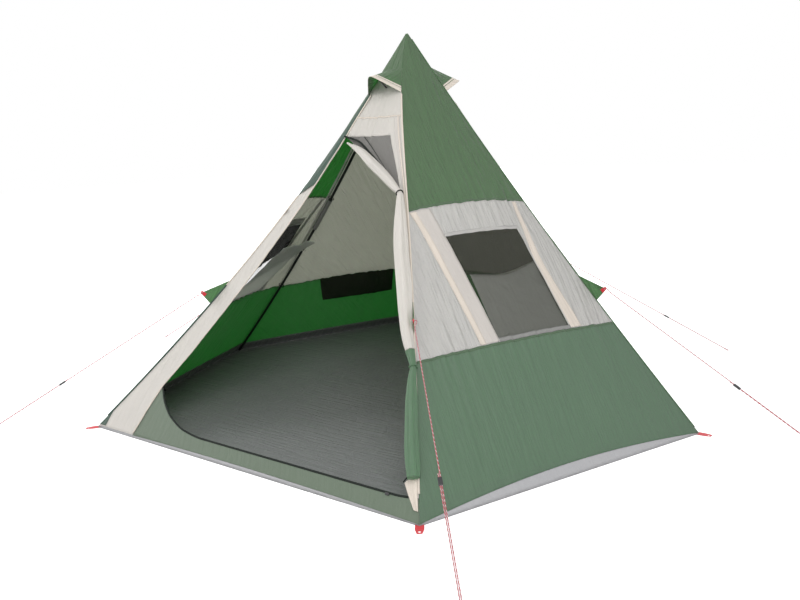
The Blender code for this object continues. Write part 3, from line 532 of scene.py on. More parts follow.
def closedTube(name, rings, maps, material):
    # rings of points joined up and closed at both ends, riding on the tent
    count, sides = len(rings), len(rings[0])
    faces = gridFaces(count - 1, sides, closed=True)
    faces += [tuple(range(sides)), tuple(reversed(range((count - 1) * sides, count * sides)))]
    piece = meshFrom(name, np.concatenate(rings), faces, material, np.concatenate(maps))
    work = bmesh.new()
    work.from_mesh(piece.data)
    bmesh.ops.recalc_face_normals(work, faces=work.faces)
    if work.calc_volume(signed=True) < 0:
        bmesh.ops.reverse_faces(work, faces=work.faces)
    work.to_mesh(piece.data)
    work.free()
    piece.data.polygons.foreach_set("use_smooth", [len(face.vertices) == 4 for face in piece.data.polygons])
    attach(piece, "tent")
    return piece


def tube(name, line, radius, material, sides=8, radii=None, flatten=1.0):
    # a closed tube along a line of points, with a map in metres along and round it
    line = np.asarray(line, float)
    ahead = np.gradient(line, axis=0)
    ahead /= np.linalg.norm(ahead, axis=1)[:, None]
    side = np.cross(ahead[0], (0.0, 0.0, 1.0) if abs(ahead[0][2]) < 0.9 else (1.0, 0.0, 0.0))
    radii = np.full(len(line), radius) if radii is None else radii
    turns = np.linspace(0, math.tau, sides, endpoint=False)
    rings, maps, gone = [], [], 0.0
    for index, place in enumerate(line):
        side = unit(side - ahead[index] * (side @ ahead[index]))
        up = np.cross(ahead[index], side)
        if index:
            gone += float(np.linalg.norm(place - line[index - 1]))
        rings.append(place + radii[index] * (np.cos(turns)[:, None] * side + flatten * np.sin(turns)[:, None] * up))
        maps.append(np.stack([turns * radius, np.full(sides, gone)], axis=-1))
    return closedTube(name, rings, maps, material)


guyPlan = {"cord": 0.005, "reach": {"front_left": 2.70, "front_right": 2.75, "right": 2.47, "back_right": 2.25,
                                    "back_left": 2.25, "left": 2.75},
           "side": {"front_right": 0.16, "back_right": -0.27}, "strands": 0.0066, "clear": 0.011,
           "tabTop": 0.640, "tabBottom": 0.700, "tabReach": 0.095, "tabEar": 0.010, "tabOffset": 0.0026,
           "sliderShare": 0.62, "sliderLength": 0.040, "tail": 0.020, "step": 0.02,
           "knot": ((0, -1.8), (0, 0), (0, 1.2), (.24, 2.1), (.9, 2.76), (1.8, 3.0), (4.0, 2.5), (6.4, 1.2),
                    (9.2, 0.2), (12, 0)),
           "eye": ((-9, 0), (-6, 0.4), (-3, 1.3), (-0.8, 1.76), (0.8, 1.56), (2, 0.7))}


def tabFrame(pole):
    # origin, X out of the pole's line, Y along it, Z across; then the tab's rise and its hole
    top, low = poleLine(pole, guyPlan["tabTop"]), poleLine(pole, guyPlan["tabBottom"])
    up = unit(top - low)
    across = unit(sideways(pole) - up * (sideways(pole) @ up))
    out = np.cross(up, across)
    out = unit(-out if out @ outward(pole) < 0 else out)
    z = unit(across - out * (across @ out))
    y = np.cross(z, out)
    rise = float(np.linalg.norm(top - low))
    lift = -rise / 2 if y[2] > 0 else rise / 2
    return (top + low) / 2, out, y, z, rise, (guyPlan["tabReach"] - guyPlan["tabEar"], lift * 0.75)


def guyLine(pole):
    # from the knot at the tab's hole to the eye at the peg and back through the slider
    origin, out, y, z, rise, (holeX, holeY) = tabFrame(pole)
    hole = origin + out * holeX + y * holeY
    peg = outward(pole) * guyPlan["reach"][pole] + sideways(pole) * guyPlan["side"].get(pole, 0.0)
    peg[2] = guyPlan["clear"]
    along = unit(peg - hole)
    across = unit(sideways(pole) - along * (sideways(pole) @ along))
    across = np.cross(unit(np.cross(along, across)), along)
    length = float(np.linalg.norm(peg - hole))
    apart, slider = guyPlan["strands"], guyPlan["sliderShare"] * length
    flat, eye = ([(x * guyPlan["cord"], y * guyPlan["cord"]) for x, y in guyPlan[key]] for key in ("knot", "eye"))
    flat += [(length + x, y) for x, y in eye]
    flat += [(length + x, -apart - y) for x, y in reversed(eye)]
    flat += [(slider + guyPlan["sliderLength"] / 2, -apart),
             (slider - guyPlan["sliderLength"] / 2 - guyPlan["tail"], -apart)]
    points = [hole + along * x + across * y for x, y in flat]
    line = [points[0]]
    for first, last in zip(points, points[1:]):       # the same straight runs, cut finer
        count = max(1, int(np.linalg.norm(last - first) / guyPlan["step"]))
        line += [first + (last - first) * (step + 1) / count for step in range(count)]
    return np.array(line)


def cordMaterial():
    # braided cord: red with pale flecks that wind along it
    made, tree, body, coords = newMaterial("flockedCord")
    apart = addNode(tree, "SeparateXYZ", {0: coords["UV"]}).outputs

    def wound(along, round):
        slant = mathNode(tree, "ADD", mathNode(tree, "MULTIPLY", apart["Y"], along),
                         mathNode(tree, "MULTIPLY", apart["X"], round))
        return mathNode(tree, "SINE", slant)

    fleck = mathNode(tree, "GREATER_THAN", wound(260.0, 400.0), 0.45)
    strands = mathNode(tree, "MAXIMUM", wound(520.0, 800.0), wound(520.0, -800.0))
    fill(tree, body, {"Base Color": mixColours(tree, fleck, (0.34, 0.030, 0.045), (0.58, 0.46, 0.47)),
                      "Roughness": 0.7, "Normal": bumped(tree, 0.5, 0.0006, strands)})
    return made


cordFinish = cordMaterial()
cordLengths = {}
for pole in tent["feet"]:
    line = guyLine(pole)
    rope = tube("guy_cord_" + pole, line, guyPlan["cord"] / 2, cordFinish)
    long = float(np.linalg.norm(np.diff(line, axis=0), axis=1).sum())
    cordLengths[pole] = round(long, 3)
    claim(rope, "guy_line_" + pole)
print("guy lines", cordLengths)


def makeBand(name, walls, marks, counts, columns, finish, keep=None, hem=False, gaps=None, ended=()):
    # a cloth over one wall or several in a row; gaps counts the seam gaps kept from the cloth above,
    # and ended names the places over a pole where a cloth stops at its own wall's edge
    downs = np.array(stops(marks, counts))
    if gaps is None:
        gaps = np.zeros((len(downs), columns * len(walls) + 1))
        gaps[0] = 1
    blocks = []
    for index, wall in enumerate(walls):
        across = np.arange(columns + (index == len(walls) - 1)) / columns
        rows = downs[:, None] + gaps[:, index * columns:index * columns + len(across)] * seamStep(wall)
        if hem:
            part = (downs - downs[0])[:, None] / (downs[-1] - downs[0])
            rows = downs[0] + (hemDown(wall, across)[None] - downs[0]) * part + seamStep(wall) * (1 - part)
        block = wallPlace(wall, across[None], rows)
        if index:
            block[:, 0] = poleLine(tent["walls"][wall][0], rows[:, 0])
        blocks.append(block)
    points = np.concatenate(blocks, axis=1)
    for place, rows, wall, across in ended:
        points[rows, place] = wallPlace(wall, across, downs[rows] + gaps[rows, place] * seamStep(wall))
    hang(name + "_cloth", points, finish, name,
         keep=keep)


rearWalls = ["back_right", "back", "back_left"]
for wall in ("front_right", "front_left"):
    makeBand("lower_wall_" + wall, [wall], (lower, 1.0), (56,), 190, "lowerGreen", hem=True)
    makeBand("upper_wall_" + wall, [wall], (tent["peak"], upper), (110,), 150, "upperGreen")
makeBand("lower_wall_rear", rearWalls, (lower, 1.0), (36,), 110, "lowerGreen", hem=True)
whiteGaps = np.zeros((95, 271))         # the two slanting walls are white up to their vent, the back wall isn't
whiteGaps[0, 180:] = 1
whiteGaps[50, 90:181] = 1
whiteGaps[50, [90, 180]] = 3
makeBand("middle_wall_rear", rearWalls, (tent["rearVentBottom"], upper, lower), (50, 44), 90, "white",
         keep=lambda step, row: row >= 50 or step < 90 or step >= 180, gaps=whiteGaps,
         ended=[(90, slice(0, 50), "back_right", 1.0), (180, slice(0, 50), "back_left", 0.0)])
makeBand("upper_wall_rear", ["back", "back_left"], (tent["peak"], tent["rearVentBottom"], upper), (28, 50), 70,
         "upperGreen", keep=lambda step, row: step < 70 or row < 28,
         ended=[(70, slice(29, 79), "back", 1.0)])
print("walls hung")

windowPlan = {"width": 0.475, "top": 0.52, "bottom": 0.743, "shiftTop": -0.005, "shiftBottom": 0.075,
              "flapLength": 0.38, "flapMargin": 0.006, "flapStandOff": 0.014, "leftFlapLean": 0.060, "seat": 0.0003}


def windowEdges(wall, down):
    down = np.asarray(down, float)
    chord = wallChord(wall, down)
    sunk = (down - windowPlan["top"]) / (windowPlan["bottom"] - windowPlan["top"])
    shift = windowPlan["shiftTop"] + (windowPlan["shiftBottom"] - windowPlan["shiftTop"]) * sunk
    middle = 0.5 + (-shift if wall == "front_left" else shift) / chord
    half = windowPlan["width"] / 2 / chord
    return middle - half, middle + half


def makeWindowWall(side):
    wall = "front_" + side
    step = seamStep(wall)
    sides, across, rows = 46, 44, (16, 56, 3)
    downs = np.array(stops((upper + step, windowPlan["top"], windowPlan["bottom"], lower), rows))
    shares = np.array([stops((0.0, a, b, 1.0), (sides, across, sides)) for a, b in zip(*windowEdges(wall, downs))])
    hang("middle_wall_%s_cloth" % wall, wallPlace(wall, shares, downs[:, None]), "white",
         "middle_wall_" + wall,
         keep=lambda place, row: not (sides <= place < sides + across and rows[0] <= row < rows[0] + rows[1]))

    downs = np.array(stops((windowPlan["top"] + step, windowPlan["bottom"] - step), (48,)))
    left, right = windowEdges(wall, downs)
    inset = 2.5 * step
    shares = left[:, None] + inset + (right - left - 2 * inset)[:, None] * np.linspace(0, 1, 41)
    hang("window_net_" + side, wallPlace(wall, shares, downs[:, None]), "mesh",
         "window_mesh_" + side, thick=0.0006)


def flapFrame(side):
    # hinge middle, X along it, Y up the flap, Z its face, and its width, as in the solids
    wall, low, normal = "front_" + side, windowPlan["bottom"], wallNormals["front_" + side]
    left, right = (float(edge) for edge in windowEdges(wall, low))
    share = windowPlan["flapMargin"] / float(wallChord(wall, low))
    ends = [wallPlace(wall, across, low, rippled=False) for across in (left + share, right - share)]
    along = unit(ends[1] - ends[0])
    up = unit(np.array((0, 0, 1.0)) - normal * normal[2])
    above = wallPlace(wall, (left + right) / 2, low - windowPlan["flapLength"] / wallRun(wall), rippled=False)
    below = (ends[0] + ends[1]) / 2
    lean = ((above - below) @ normal) / ((above - below) @ up)
    standOff = windowPlan["flapStandOff"] + (windowPlan["leftFlapLean"] if side == "left" else 0.0)
    rising = unit(up + normal * (lean - standOff / windowPlan["flapLength"]))
    face = unit(np.cross(along, rising))
    inner = below - face * (windowPlan["seat"] + tent["cloth"] * 0.8)
    return inner, along, np.cross(face, along), face, float(np.linalg.norm(ends[1] - ends[0]))


flapPlan = {"topRight": ((-0.5, 0.389), (-0.07, 0.3645), (0.5, 0.416)),
            "topLeft": ((-0.5, 0.560), (-0.32, 0.560), (-0.12, 0.535), (0.1, 0.545), (0.5, 0.560)),
            "flopIn": 0.03, "flopAlong": 0.035, "slit": 0.016, "drop": 0.010}


def makeFlap(side):
    # a cloth flap inside the window, slack at its free edge; the left one has a corner that flops over
    origin, along, up, face, width = flapFrame(side)
    u, v = np.linspace(-0.5, 0.5, 57)[None], np.linspace(1, 0, 49)[:, None]
    slack = np.sin(np.clip(v, 0, 1) * math.pi / 2)
    seed = 71 if side == "left" else 77
    wave = 0.006 * slack * wander(u * width + 0.3 * v, 0.11, seed) + (
        0.004 * slack * drift(u * width, v * 0.38, 0.07, seed))
    fold = 0.0025 * drift(u * width + 0.4 * v, v * 0.38 - 0.3 * u, 0.045, seed + 3)
    inward = -0.004 * slack + np.minimum(wave + fold * slack, 0.004) - 0.005 * v * v * (1 - 4 * u * u)
    tall = tableAt(flapPlan["topLeft" if side == "left" else "topRight"], u)
    slide = 0 * u * v
    if side == "left":
        flop = smooth((v - 0.70) / 0.30) * smooth((-0.26 - u) / 0.24)
        inward = inward - flapPlan["drop"] * v - flapPlan["flopIn"] * flop
        slide = -flapPlan["flopAlong"] * flop - (
            flapPlan["slit"] * smooth(u / 0.5) * np.sin(math.pi * np.clip(v, 0, 1)) ** 0.7)
    points = origin + column(u * width + slide) * along + column(v * tall) * up + column(inward) * face
    hang("window_flap_cloth_" + side, points, "flap", "window_flap_" + side,
         side=0.0, body="window_flap_" + side)


def makeInnerNet(name, wall, starts, ends, lows, finish, lift=-0.0025):
    # a second net behind part of a window, from its top to a line and between two shares of its width
    step = seamStep(wall)
    part = starts + (ends - starts) * np.linspace(0, 1, 49)
    top = windowPlan["top"] + step
    downs = top + (tableAt(lows, part) - top)[None] * np.linspace(0, 1, 31)[:, None]
    left, right = windowEdges(wall, downs)
    points = wallPlace(wall, left + 3 * step + (right - left - 6 * step) * part, downs, lift=lift)
    hang(name, points, finish, thick=0.0006)


flapLine = tuple((u + 0.5, windowPlan["bottom"] - (high - 0.012) / wallRun("front_right"))
                 for u, high in flapPlan["topRight"])
makeInnerNet("window_inner_net_right", "front_right", 0.0, 1.0, flapLine, "mesh")
makeInnerNet("window_inner_net_left", "front_left", 0.0, 0.93, ((0.0, 0.62), (0.5, 0.65), (0.93, 0.69)), "closeMesh")
makeInnerNet("window_slit_net_left", "front_left", 0.935, 1.0, ((0.935, 0.737), (1.0, 0.737)), "closeMesh",
             lift=-0.0035)
for side in ("right", "left"):
    makeWindowWall(side)
    makeFlap(side)
print("windows hung")

doorPlan = {"stripEdge": 0.897, "stripFoot": 0.86, "top": 0.275,
            "screen": ((0.275, .88), (0.30, .66), (0.33, .43), (0.36, .265), (0.39, .12), (0.405, .075)),
            "jamb": ((0.226, .24), (0.275, .185), (0.325, .118), (0.36, .082), (0.40, .056),
                     (0.43, .040), (0.60, .026), (0.80, .018), (1.0, .013)),
            "zip": ((0.0, .962), (0.06, .966), (0.63, .966), (0.70, .961), (0.775, .944), (0.84, .919),
                    (0.897, .889))}
corner = doorPlan["zip"][-1][1]
frontStep = seamStep("front")


def stripEdge(down):
    sunk = np.maximum(0.0, (np.asarray(down, float) - corner) / (1 - corner))
    return doorPlan["stripEdge"] + (doorPlan["stripFoot"] - doorPlan["stripEdge"]) * sunk


def makeSurround():
    counts, head = (14, 56, 12), 10                 # columns of the strip, the gap and the jamb
    strip, opened = counts[0], counts[0] + counts[1]
    jambEnd = doorPlan["zip"][0][1] - frontStep
    downs = np.array(stops([tent["ventBottom"] + frontStep, doorPlan["top"], corner, 1.0], (head, 128, 22)))

    def sharesAt(down, edge):
        return stops((1.0, edge, float(tableAt(doorPlan["jamb"], down)), 0.0), counts)

    shares = np.array([sharesAt(down, float(stripEdge(down))) for down in downs])
    rowDowns = np.repeat(downs[:, None], sum(counts) + 1, axis=1)
    below = downs > corner
    part = (downs[below] - corner) / (1 - corner)
    for place in range(sum(counts) + 1):
        if place >= opened:
            rowDowns[below, place] = corner + (jambEnd - corner) * part
            shares[below, place] = [sharesAt(down, 0.9)[place] for down in rowDowns[below, place]]
        else:
            foot = hemDown("front", 1 - (1.0 if place == 0 else stripEdge(downs[below])))
            rowDowns[below, place] = corner + (foot - corner) * part
    hang("door_surround_cloth", wallPlace("front", 1 - shares, rowDowns), "cream", "door_surround",
         keep=lambda place, row: row < head or not strip <= place < opened, size=(0.70, 2.15))


def makeSill():
    edges = np.array(stops((doorPlan["stripEdge"], 0.84, 0.63, 0.06, 0.0), (8, 26, 60, 8)))
    high = corner
    for _ in range(4):                      # the columns slant with the strip's edge, so the zip is met on the slant
        high = tableAt(doorPlan["zip"], edges * stripEdge(high) / doorPlan["stripEdge"]) + frontStep
    downs = high[None] + (hemDown("front", 1 - edges) - high)[None] * np.linspace(0, 1, 17)[:, None]
    shares = edges[None] * (stripEdge(downs) - 3 * frontStep) / doorPlan["stripEdge"]
    hang("door_sill_cloth", wallPlace("front", 1 - shares, downs), "sage",
         "door_sill", size=(2.2, 0.32))


def makeScreen():
    downs = np.linspace(doorPlan["top"] + frontStep, doorPlan["screen"][-1][0], 41)
    jamb = tableAt(doorPlan["jamb"], downs) + 4 * frontStep
    left = tableAt(doorPlan["screen"], downs)
    shares = left[:, None] + (jamb - left)[:, None] * np.linspace(0, 1, 45)
    fold = 0.002 * wander(shares * 1.2 + downs[:, None] * 3, 0.05, 91)
    points = wallPlace("front", 1 - shares, downs[:, None], lift=np.minimum(fold, 0.0))
    hang("door_screen_net", points, "screen", "door_screen", thick=0.0006,
         size=(0.62, 0.34))


makeSurround()
makeSill()
makeScreen()

rollPlan = {"radius": 0.037, "waist": 0.40, "pleats": 5, "pleatDepth": 0.0045, "gap": 0.0006, "sides": 72,
            "route": ((.79, .2935), (.70, .3015), (.623, .3083), (.4842, .3248), (.3352, .35),
                      (.2209, .372), (.1377, .3915), (.0818, .4074), (.0434, .4188), (.0355, .4357),
                      (.0322, .4639), (.0307, .5086), (.0285, .5551), (.0215, .6149), (.0180, .6674),
                      (.0150, .7083), (.0060, .7349)),
            "girth": (.16, .27, .43, .65, .78, .78, .70, .54, .40, .54, .73, .92, 1, 1, .92, .78, .62),
            "hemRoute": ((.0058, .7353), (0, .7617), (.0025, .7846), (.0038, .8182), (.0046, .8582),
                         (.0041, .8932), (.0028, .9195), (.0030, .9363)),
            "hemGirth": (.62, .40, .54, .70, .78, .84, .84, .73)}
rollWaist = rollPlan["radius"] * rollPlan["waist"]


def rollRoute(part):
    route, girth = (rollPlan[part + "Route"], rollPlan[part + "Girth"]) if part else (
        rollPlan["route"], rollPlan["girth"])
    radii = np.array(girth) * rollPlan["radius"]
    lift = tent["cloth"] + rollPlan["gap"] + rollPlan["pleatDepth"] + radii
    return np.array([wallPlace("front", 1 - share, down, lift=up, rippled=False)
                     for (share, down), up in zip(route, lift)]), radii


def alongRoute(centres, radii, share):
    place = share * (len(centres) - 1)
    index = min(int(place), len(centres) - 2)
    part = place - index
    before, after = centres[max(index - 1, 0)], centres[min(index + 2, len(centres) - 1)]
    start, end = centres[index], centres[index + 1]
    square, cube = part * part, part ** 3
    spot = (start * (2 * cube - 3 * square + 1) + (end - before) / 2 * (cube - 2 * square + part)
            + end * (3 * square - 2 * cube) + (after - start) / 2 * (cube - square))
    return spot, radii[index] + (radii[index + 1] - radii[index]) * part


def makeRoll(name, node, part, finish, rings, seed):
    # the gathered door: deep pleats that turn a little, and finer folds on them
    centres, radii = rollRoute(part)
    sides = rollPlan["sides"]
    turns = np.linspace(0, math.tau, sides, endpoint=False)
    points, maps, gone, last = [], [], 0.0, None
    for ring in range(rings + 1):
        share = ring / rings
        spot, radius = alongRoute(centres, radii, share)
        ahead = unit(alongRoute(centres, radii, min(share + 0.01, 1.0))[0]
                     - alongRoute(centres, radii, max(share - 0.01, 0.0))[0])
        left = unit(np.cross(wallNormals["front"], ahead))
        up = np.cross(ahead, left)
        fullness = np.clip((radius - rollWaist) / (rollPlan["radius"] - rollWaist), 0, 1)
        if last is not None:
            gone += float(np.linalg.norm(spot - last))
        last = spot
        fold = rollPlan["pleatDepth"] * fullness * np.cos(rollPlan["pleats"] * turns + 2.5 * share)
        fine = 0.0017 * (0.35 + fullness) * wander(turns * 3.1 + 0.6 * math.sin(gone * 3), 0.55, seed)
        fine = fine + 0.0012 * (0.4 + fullness) * drift(turns * 2.0, np.full(sides, gone * 5), 0.5, seed + 1)
        closing = np.abs(turns - math.tau / 2) / (math.tau / 2)         # the fine folds meet where the ring closes
        fine = fine * smooth((1 - closing) * 8)
        size = radius + fold + np.clip(fine, -0.004, 0.0022)
        points.append(spot + size[:, None] * (np.cos(turns)[:, None] * left + np.sin(turns)[:, None] * up))
        maps.append(np.stack([turns * rollPlan["radius"], np.full(sides, gone)], axis=-1))
    piece = closedTube(name, points, maps, cloths[finish])
    claim(piece, node)


makeRoll("door_roll_cloth", "door_roll", "", "cream", 220, 131)
makeRoll("door_roll_hem_cloth", "door_roll_hem", "hem", "lowerGreen", 90, 137)
print("door hung")

hoodPlan = {"edge": 0.165, "bindings": ((0.1494, 0.1532), (0.1544, 0.1652)), "tip": 0.16,
            "lift": {"front": 0.165, "back_right": 0.10}}


def hoodAt(wall, columns, downs, lift=0.0):
    across, downs = np.linspace(0, 1, columns + 1)[None], np.asarray(downs)[:, None]
    opened = np.clip((downs - tent["ventTop"]) / (hoodPlan["edge"] - tent["ventTop"]), 0, 1)
    tip = hoodPlan["tip"]                                       # a rounded ridge along the middle
    slope = (np.sqrt(1 + tip ** 2) - np.sqrt((2 * across - 1) ** 2 + tip ** 2)) / (np.sqrt(1 + tip ** 2) - tip)
    rise = hoodPlan["lift"][wall] * opened * (slope * 0.92 + 0.08 * (1 - np.abs(2 * across - 1)))
    return wallPlace(wall, across, downs, lift=rise + lift)


for name, wall in (("vent_hood_front", "front"), ("vent_hood_rear", "back_right")):
    points = hoodAt(wall, 60, stops((tent["peak"], tent["ventTop"], hoodPlan["edge"]), (30, 24)))
    hang(name + "_cloth", points, "upperGreen", name)
    for index, (high, low) in enumerate(hoodPlan["bindings"]):
        hang("%s_binding_%d" % (name, index + 1), hoodAt(wall, 80, np.linspace(high, low, 5), lift=0.0016), "ivory",
             thick=0.0009)
for name, wall, low in (("vent_panel_front", "front", tent["ventBottom"]),
                        ("vent_panel_rear", "back_right", tent["rearVentBottom"])):
    downs = np.linspace(tent["ventTop"] + seamStep(wall), low - seamStep(wall), 37)[:, None]
    hang(name + "_net", wallPlace(wall, np.linspace(0, 1, 53)[None], downs, lift=-0.0013), "cream",
         name, thick=0.0006)
print("hoods hung")

groundPlan = {"rise": 0.07, "thick": 0.0015, "rimGap": 0.0014, "pitch": 0.025, "wrinkle": 0.006,
              "halfX": 1.84, "halfY": 1.64, "flat": (3.82, 3.42), "rimSteps": 4}


def wallAt(x, y):
    # how far a point of the floor is from its nearest wall, which wall, and its share across it
    found = []
    for wall, (first, last) in tent["walls"].items():
        a, b = poleFoot(first)[:2], poleFoot(last)[:2]
        part = float(np.clip(((np.array((x, y)) - a) @ (b - a)) / ((b - a) @ (b - a)), 0, 1))
        found.append((float(np.linalg.norm(np.array((x, y)) - a - (b - a) * part)), wall, part))
    return min(found, key=lambda item: item[0])


def cornerAt(pole, wall, down=1.0):
    # a corner of the ground's rim, inside a pole
    inward = groundPlan["rimGap"] / float(outward(pole) @ wallNormals[wall])
    return poleLine(pole, down) - outward(pole) * inward


def rimPoint(wall, across, down):
    if across < 1e-4 or across > 1 - 1e-4:
        return cornerAt(tent["walls"][wall][0 if across < 0.5 else 1], wall, down)
    return wallPlace(wall, across, down, lift=-groundPlan["rimGap"])


def mapByPlace(work, first, second):
    layer = work.loops.layers.uv.verify()
    for face in work.faces:
        for loop in face.loops:
            loop[layer].uv = (loop.vert.co[first], loop.vert.co[second])


def makeGround():
    # a flat hexagon of cloth with its rim turned up inside the walls, and drawn wrinkles over it
    plan = groundPlan
    bpy.ops.object.select_all(action="DESELECT")
    bpy.ops.mesh.primitive_grid_add(x_subdivisions=round(2 * plan["halfX"] / plan["pitch"]),
                                    y_subdivisions=round(2 * plan["halfY"] / plan["pitch"]), size=1.0)
    piece = bpy.context.object
    piece.name = piece.data.name = "ground_cloth"
    piece.data.transform(Matrix.Diagonal((2 * plan["halfX"], 2 * plan["halfY"], 1.0, 1.0)))
    work = bmesh.new()
    work.from_mesh(piece.data)
    for wall, normal in wallNormals.items():
        flat = unit(np.array((normal[0], normal[1], 0.0)))
        edge = poleFoot(tent["walls"][wall][0]) - flat * (plan["rimGap"] / float(np.linalg.norm(normal[:2])))
        bmesh.ops.bisect_plane(work, geom=[*work.verts, *work.edges, *work.faces], plane_co=edge, plane_no=flat,
                               clear_outer=True)
    bmesh.ops.remove_doubles(work, verts=work.verts, dist=0.0008)
    rim = [edge for edge in work.edges if len(edge.link_faces) == 1]
    onRim = {point for edge in rim for point in edge.verts}
    marks = {}

    def spotOf(point):
        return tuple(round(value, 5) for value in point.co)

    for point in work.verts:
        x, y = point.co.x, point.co.y
        off, wall, part = wallAt(x, y)
        if point in onRim:
            point.co = rimPoint(wall, part, 1.0)
            point.co.z = 0.0
            marks[spotOf(point)] = (wall, part)
            continue
        slant = y + 0.22 * x
        long = 0.55 * float(drift(x * 0.30, slant, 0.050, 301)) + 0.75 * float(drift(x * 0.42, slant, 0.105, 302))
        broad = 0.5 * float(drift(x, y, 0.21, 303))
        point.co.z = plan["wrinkle"] * float(smooth((off - 0.02) / 0.16)) * max(0.0, long + broad + 0.2)
    for step in range(plan["rimSteps"]):
        rise = plan["rise"] * (step + 1) / plan["rimSteps"]
        made = bmesh.ops.extrude_edge_only(work, edges=rim)["geom"]
        moved = {}
        for point in (item for item in made if isinstance(item, bmesh.types.BMVert)):
            wall, part = marks[spotOf(point)]
            point.co = rimPoint(wall, part, 1 - rise / tent["height"])
            moved[spotOf(point)] = (wall, part)
        marks = moved
        rim = [item for item in made if isinstance(item, bmesh.types.BMEdge) and len(item.link_faces) == 1]
    bmesh.ops.recalc_face_normals(work, faces=work.faces)
    if min(work.faces, key=lambda face: face.calc_center_median().length).normal.z < 0:
        bmesh.ops.reverse_faces(work, faces=work.faces)
    mapByPlace(work, 1, 0)
    area = sum(face.calc_area() for face in work.faces)
    work.to_mesh(piece.data)
    work.free()
    piece.data.materials.append(cloths["floor"])
    thicken(piece, plan["thick"], even=False)
    piece.data.materials.append(cloths["rim"])
    for face in piece.data.polygons:
        outside = Vector((face.center.x, face.center.y)).normalized()
        if face.center.z > 0.0016 and Vector((face.normal.x, face.normal.y)).dot(outside) > 0.4:
            face.material_index = 1
    flatSizes[piece.name] = (*plan["flat"], round(area, 3))
    claim(piece, "groundsheet")


makeGround()
print("ground laid")


def layTape(name, wall, across, down, width, finish, lift=0.0016):
    # a flat tape whose middle follows a line on a wall
    across, down = np.broadcast_arrays(np.asarray(across, float), np.asarray(down, float))
    tiny = 1e-4
    mid = wallPlace(wall, across, down, rippled=False)
    alongAcross = (wallPlace(wall, across + tiny, down, rippled=False) - mid) / tiny
    alongDown = (wallPlace(wall, across, down + tiny, rippled=False) - mid) / tiny
    ahead = np.gradient(mid, axis=0)
    ahead /= np.linalg.norm(ahead, axis=1)[:, None]
    side = np.cross(wallNormals[wall], ahead)
    aa, dd = (alongAcross ** 2).sum(1), (alongDown ** 2).sum(1)
    ad = (alongAcross * alongDown).sum(1)
    sa, sd = (side * alongAcross).sum(1), (side * alongDown).sum(1)
    det = aa * dd - ad * ad
    offs = np.linspace(-0.5, 0.5, 5) * width
    shares = across[:, None] + ((sa * dd - sd * ad) / det)[:, None] * offs
    downs = down[:, None] + ((sd * aa - sa * ad) / det)[:, None] * offs
    crown = 1 - (2 * offs / width) ** 4
    hang(name, wallPlace(wall, np.clip(shares, 0, 1), downs, lift=lift + 0.0003 * crown), finish,
         thick=0.0009)


def layBand(name, wall, sideA, sideB, downs, finish, lift=0.0016, swell=0.0003):
    # a tape between two lines down a wall
    part = np.linspace(0, 1, 9)
    first, last = np.minimum(sideA, sideB), np.maximum(sideA, sideB)
    crown = 1 - (2 * part - 1) ** 4
    points = wallPlace(wall, first[:, None] + (last - first)[:, None] * part, downs[:, None], lift=lift + swell * crown)
    hang(name, points, finish, thick=0.0009)


pipingPlan = {"front_left": (0.425, 0.655, 0.0045, "ivory"), "front_right": (0.17, 0.955, 0.0050, "ivory"),
              "right": (0.02, 0.985, 0.0030, "upperGreen"), "back_right": (0.17, 0.985, 0.0030, "upperGreen"),
              "back_left": (0.02, 0.985, 0.0030, "upperGreen"), "left": (0.02, 0.985, 0.0030, "upperGreen")}
for pole, (top, foot, radius, finish) in pipingPlan.items():
    line = poleLine(pole, np.linspace(top, foot, 140)) + outward(pole) * (0.0018 + radius * 0.5)
    tube("edge_piping_" + pole, line, radius, cloths[finish])

# the left wall's green comes round the pole on to the strip, down to where the white starts; it and the sleeve by the
# pole take a darker copy of the green, which is painted shade
turnPlan = {"top": 0.166, "inner": 0.392, "outer": 0.424, "swell": 0.006, "foot": (0.958, 0.993), "footWidth": 0.024,
            "sleeve": (0.652, 0.972)}
sleeveLine = poleLine("front_left", np.linspace(*turnPlan["sleeve"], 120)) + outward("front_left") * 0.0045
tube("edge_sleeve_front_left", sleeveLine, 0.0055, cloths["paintedShadeGreen"])
across = np.linspace(0, 1, 15)[None]
down = turnPlan["top"] + (turnPlan["outer"] + (turnPlan["inner"] - turnPlan["outer"]) * across - turnPlan["top"]) * (
    np.linspace(0, 1, 91)[:, None])
points = wallPlace("front", (1 - doorPlan["stripEdge"]) * across, down,
                   lift=0.0016 + turnPlan["swell"] * np.sin(math.pi * across * 0.9 + 0.3))
hang("strip_green_cloth", points, "paintedShadeGreen", thick=0.0009)
part, down = np.linspace(0, 1, 30)[:, None], np.linspace(*turnPlan["foot"], 30)[:, None]
points = wallPlace("front", turnPlan["footWidth"] * part * across, down + 0 * across, lift=0.0030)
hang("pole_sleeve_foot", points, "paintedShadeGreen", thick=0.0010)

seamPlan = [(wall, seam, "greenTape") for wall in ("front_right", "front_left", "back")
            for seam in (upper - 0.003, lower + 0.003)]
seamPlan += [(wall, lower + 0.003, "greenTape") for wall in ("back_right", "back_left")]
seamPlan += [("back_left", tent["rearVentBottom"] - 0.003, "greenTape"),
             ("back_right", tent["rearVentBottom"] + 0.002, "ivory"), ("front", tent["ventBottom"], "ivory")]
for wall, seam, finish in seamPlan:
    layTape("seam_%s_%d" % (wall, round(1000 * seam)), wall, np.linspace(0.004, 0.996, 160), seam, 0.011, finish)

